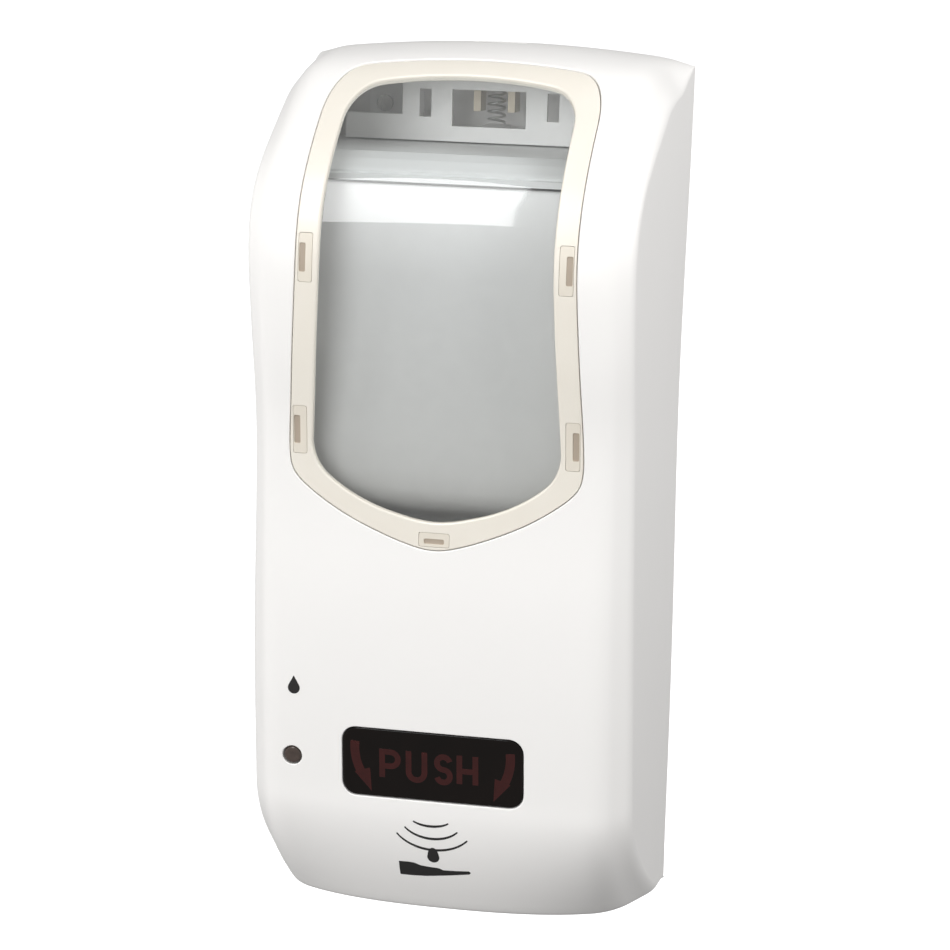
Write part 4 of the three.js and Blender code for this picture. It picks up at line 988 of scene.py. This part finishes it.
def boxLoop(x0, x1, y0, y1, radius, z, perCorner=8, perSide=10):
    arcs = cornerArcs(x0, x1, y0, y1, radius, perCorner)
    share = np.linspace(0, 1, perSide + 1)[1:-1, None]
    loop = []
    for bend, following in zip(arcs, arcs[1:] + arcs[:1]):
        loop += [bend, bend[-1] * (1 - share) + following[0] * share]
    loop = np.vstack(loop)
    return np.column_stack([loop, np.full(len(loop), z)])


def tankLoop(z, inset, shrink=0.0):
    half = tank["half"] - inset - shrink
    radius = max(3.0, tank["corner"] - inset - shrink)
    return boxLoop(-half, half, tankFrontAt(z, inset) + shrink, tank["back"] - inset - shrink,
                   radius, z)


def buildTank():
    low = tank["bottom"]
    heights = np.concatenate([low + np.array([1.2, 2.2, 3.4, 4.8, 6.5, 8.5, 11, 14, 18, 24]),
                              np.linspace(low + 32, tankTop - 36, 14),
                              np.linspace(tankTop - 32, tankTop - 0.8, 14)])
    loops = [tankLoop(low, 0, 3.0), tankLoop(low, 0, 1.2), tankLoop(low + 0.4, 0, 0.4)]
    loops += [tankLoop(z, 0) for z in heights]
    loops += [tankLoop(tankTop - 0.25, 0, 0.25), tankLoop(tankTop, 0, 0.8)]
    wall = tank["wall"]
    loops += [tankLoop(tankTop, wall, -0.6), tankLoop(tankTop - 0.6, wall)]
    loops += [tankLoop(z, wall) for z in heights[::-1] if z > low + wall + 0.5]
    loops += [tankLoop(low + wall, wall, 2.0)]
    return ringStack("tankShell", loops, tankMilky, "wall_unit")


tankShell = buildTank()
tankShell.modifiers.new("corners", "WEIGHTED_NORMAL").keep_sharp = True
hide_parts("reservoir")


def turnedPiece(name, profile, axis, shader, body, count=48):
    # a body of revolution about a vertical axis; profile is (radius, z)
    loops = [np.column_stack([circle(*axis, radius, count), np.full(count, z)])
             for radius, z in profile]
    return ringStack(name, loops, shader, body, looped=True)


neckProfile = [(13, 126), (13, 138), (15.5, 138.6), (10.6, 138.6), (10.6, 126)]
neck = turnedPiece("tankNeck", neckProfile, (0, -44), tankMilky, "wall_unit")
softEdges(neck, 0.4)
print("reservoir made")

# lugs and ribs inside the cover

fittings = {"hingeY": -20, "hingeZ": 10, "lugRadius": 5.9, "rodHole": 2.3, "lugFrom": 61.9,
            "lugTo": 67, "ribs": (-14, 0, 14), "ribHalf": 1.3, "ribY": (-91.6, -80),
            "ribZ": (92, 122), "catchHalf": 8, "catchY": (-18.1, -15.7), "catchZ": (297.2, 304.9)}


def softBlock(name, xs, ys, zs, edge, shader, body):
    corner = edge + 0.2
    loops = [boxLoop(xs[0] + cut, xs[1] - cut, ys[0] + cut, ys[1] - cut, corner, z, 4, 2)
             for cut, z in ((edge, zs[0]), (0, zs[0] + edge), (0, zs[1] - edge), (edge, zs[1]))]
    return ringStack(name, loops, shader, body)


for side, word in ((-1, "Left"), (1, "Right")):
    hole, rim = fittings["rodHole"], fittings["lugRadius"]
    near, far = fittings["lugFrom"], fittings["lugTo"]
    loops = []
    for radius, x in ((hole + 0.3, near), (rim - 0.4, near), (rim, near + 0.4), (rim, far),
                      (hole, far), (hole, near + 0.3)):
        rounded = circle(0, fittings["hingeZ"], radius, 40) * (side, 1) + (fittings["hingeY"], 0)
        loops.append(np.column_stack([np.full(40, side * x), rounded]))
    ringStack("hingeLug" + word, loops, coverWhite, "cover", looped=True)
for number, x in enumerate(fittings["ribs"]):
    half = fittings["ribHalf"]
    softBlock("pushRib" + str(number + 1), (x - half, x + half), fittings["ribY"],
              fittings["ribZ"], 0.3, coverWhite, "cover")
softBlock("catchRib", (-fittings["catchHalf"], fittings["catchHalf"]), fittings["catchY"],
          fittings["catchZ"], 0.3, coverWhite, "cover")
print("cover fittings made")

# finishes and soft edges for the pieces kept from the frame

finishes = {
    "back_plate": innerWhite, "hinge_rod": steel, "top_bracket": bracketWhite,
    "latch_slider": acetal, "latch_spring": steel, "bracket_screw": steel,
    "base_housing": innerWhite, "front_plate": innerWhite, "battery_door": greyPlastic,
    "plate_screw": steel, "battery_contact": steel, "battery": sleeve,
    "reservoir_lid": lidWhite, "lid_seal": darkRubber, "outlet_seal": darkRubber,
    "pump_body": greyPlastic, "valve_ball": steel, "pump_piston": darkRubber,
    "pump_stem": acetal, "nozzle_tip": darkRubber, "pump_yoke": acetal, "pump_spring": steel,
    "push_lever": greyPlastic, "lever_axle": steel, "output_gear": acetal,
    "motor_pinion": brass, "gear_plate": steel, "gear_axle": steel, "motor": motorSteel,
    "control_board": boardGreen, "board_chip": chipBlack, "board_capacitor": capSleeve,
    "display_board": boardGreen, "led_display": segmentRed, "status_led": segmentRed,
    "sensor_board": boardGreen, "sensor": smoke}
edgeWidth = {"back_plate": 0.5, "top_bracket": 0.45, "base_housing": 0.5, "front_plate": 0.45,
             "battery_door": 0.4, "reservoir_lid": 0.6, "push_lever": 0.4, "pump_yoke": 0.35,
             "latch_slider": 0.3, "pump_body": 0.4, "motor": 0.3, "control_board": 0.15,
             "display_board": 0.15, "sensor_board": 0.15, "board_chip": 0.15,
             "gear_plate": 0.2, "battery": 0.5, "bracket_screw": 0.15, "plate_screw": 0.15}


def closestName(node, table):
    words = node.split("_")
    for count in range(len(words), 0, -1):
        name = "_".join(words[:count])
        if name in table:
            return name
    return None


for node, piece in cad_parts.items():
    if piece.hide_render:
        continue
    finish = closestName(node, finishes)
    if not piece.data.materials:
        piece.data.materials.append(finishes[finish].material)
    for slotNumber in range(len(piece.material_slots)):
        piece.material_slots[slotNumber].material = finishes[finish].material
    width = edgeWidth.get(closestName(node, edgeWidth))
    if width:
        softEdges(piece, width)
print("finishes set")

# stage, light and camera


def stagePlane(name, corners, color, glow):
    mesh = bpy.data.meshes.new(name)
    mesh.from_pydata(corners, [], [(0, 1, 2, 3)])
    plane = bpy.data.objects.new(name, mesh)
    bpy.context.scene.collection.objects.link(plane)
    shader = Shader(name, color=color, roughness=0.9, glow=color, glowStrength=glow)
    mesh.materials.append(shader.material)
    return plane


floorZ = foot - 0.5
floor = stagePlane("floor", [(-40, -30, floorZ), (40, -30, floorZ), (40, 50, floorZ),
                             (-40, 50, floorZ)], (0.92, 0.92, 0.92), 1.0)
floor.visible_diffuse = False
floor.visible_glossy = False
# a white card above the camera's left shoulder, seen only as a band of gloss in the window
card = stagePlane("card", inMetres([(-660, -745, 1565), (-242, -837, 1623), (-287, -1433, 1015),
                                    (-620, -1452, 884)]), (1, 1, 1), 7)
card.visible_camera = False
card.visible_diffuse = False
card.visible_shadow = False

world = bpy.data.worlds.new("studio")
bpy.context.scene.world = world
world.use_nodes = True
# brighter overhead than below
studio = {"below": 0.16, "level": 0.44, "above": 0.44}
dome = Nodes(world.node_tree)
aim = dome.node("ShaderNodeTexCoord", output="Generated")
height = dome.node("ShaderNodeSeparateXYZ", {}, {0: aim}, "Z")
climb = dome.node("ShaderNodeMapRange", {}, {"Value": height, "From Min": -1}, "Result")
greys = [(studio[part],) * 3 for part in ("below", "level", "above")]
dome.feed(world.node_tree.nodes["Background"].inputs["Color"],
          dome.ramp(climb, *zip((0, 0.5, 1), greys)))


def softbox(name, at, aim, size, power):
    light = bpy.data.lights.new(name, "AREA")
    light.shape = "RECTANGLE"
    light.size, light.size_y = size
    light.energy = power
    lamp = bpy.data.objects.new(name, light)
    lamp.location = at
    lamp.rotation_mode = "QUATERNION"
    lamp.rotation_quaternion = (Vector(aim) - Vector(at)).to_track_quat("-Z", "Y")
    bpy.context.scene.collection.objects.link(lamp)
    lamp.visible_glossy = False


softbox("keyLight", (-0.55, -1.9, 0.55), (0, -0.05, 0), (1.4, 1.0), 21)
softbox("sideLight", (0.68, -0.28, 0.56), (0.05, -0.05, 0.05), (0.4, 0.4), 4.4)
softbox("fillLight", (-1.3, -0.7, 0.3), (0, -0.05, 0), (0.7, 0.9), 5.8)

view = {"azimuth": 13.62, "elevation": 11.2, "roll": 1.26, "focal": 127.2,
        "place": (281.0, -1195.8, 389.3)}
azimuth, elevation, roll = (math.radians(view[k]) for k in ("azimuth", "elevation", "roll"))
forward = Vector((-math.sin(azimuth) * math.cos(elevation),
                  math.cos(azimuth) * math.cos(elevation), -math.sin(elevation)))
right = Vector((math.cos(azimuth), math.sin(azimuth), 0))
up = right.cross(forward)
turnedRight = right * math.cos(roll) + up * math.sin(roll)
turnedUp = up * math.cos(roll) - right * math.sin(roll)
camera = bpy.data.objects.new("camera", bpy.data.cameras.new("camera"))
camera.data.lens = view["focal"]
camera.data.sensor_width = 36
camera.data.clip_start, camera.data.clip_end = 0.05, 60
basis = Matrix((turnedRight, turnedUp, -forward)).transposed().to_4x4()
basis.translation = inMetres([view["place"]])[0]
camera.matrix_world = basis
bpy.context.scene.collection.objects.link(camera)
bpy.context.scene.camera = camera
bpy.context.scene.view_settings.view_transform = "Standard"
print("stage set")
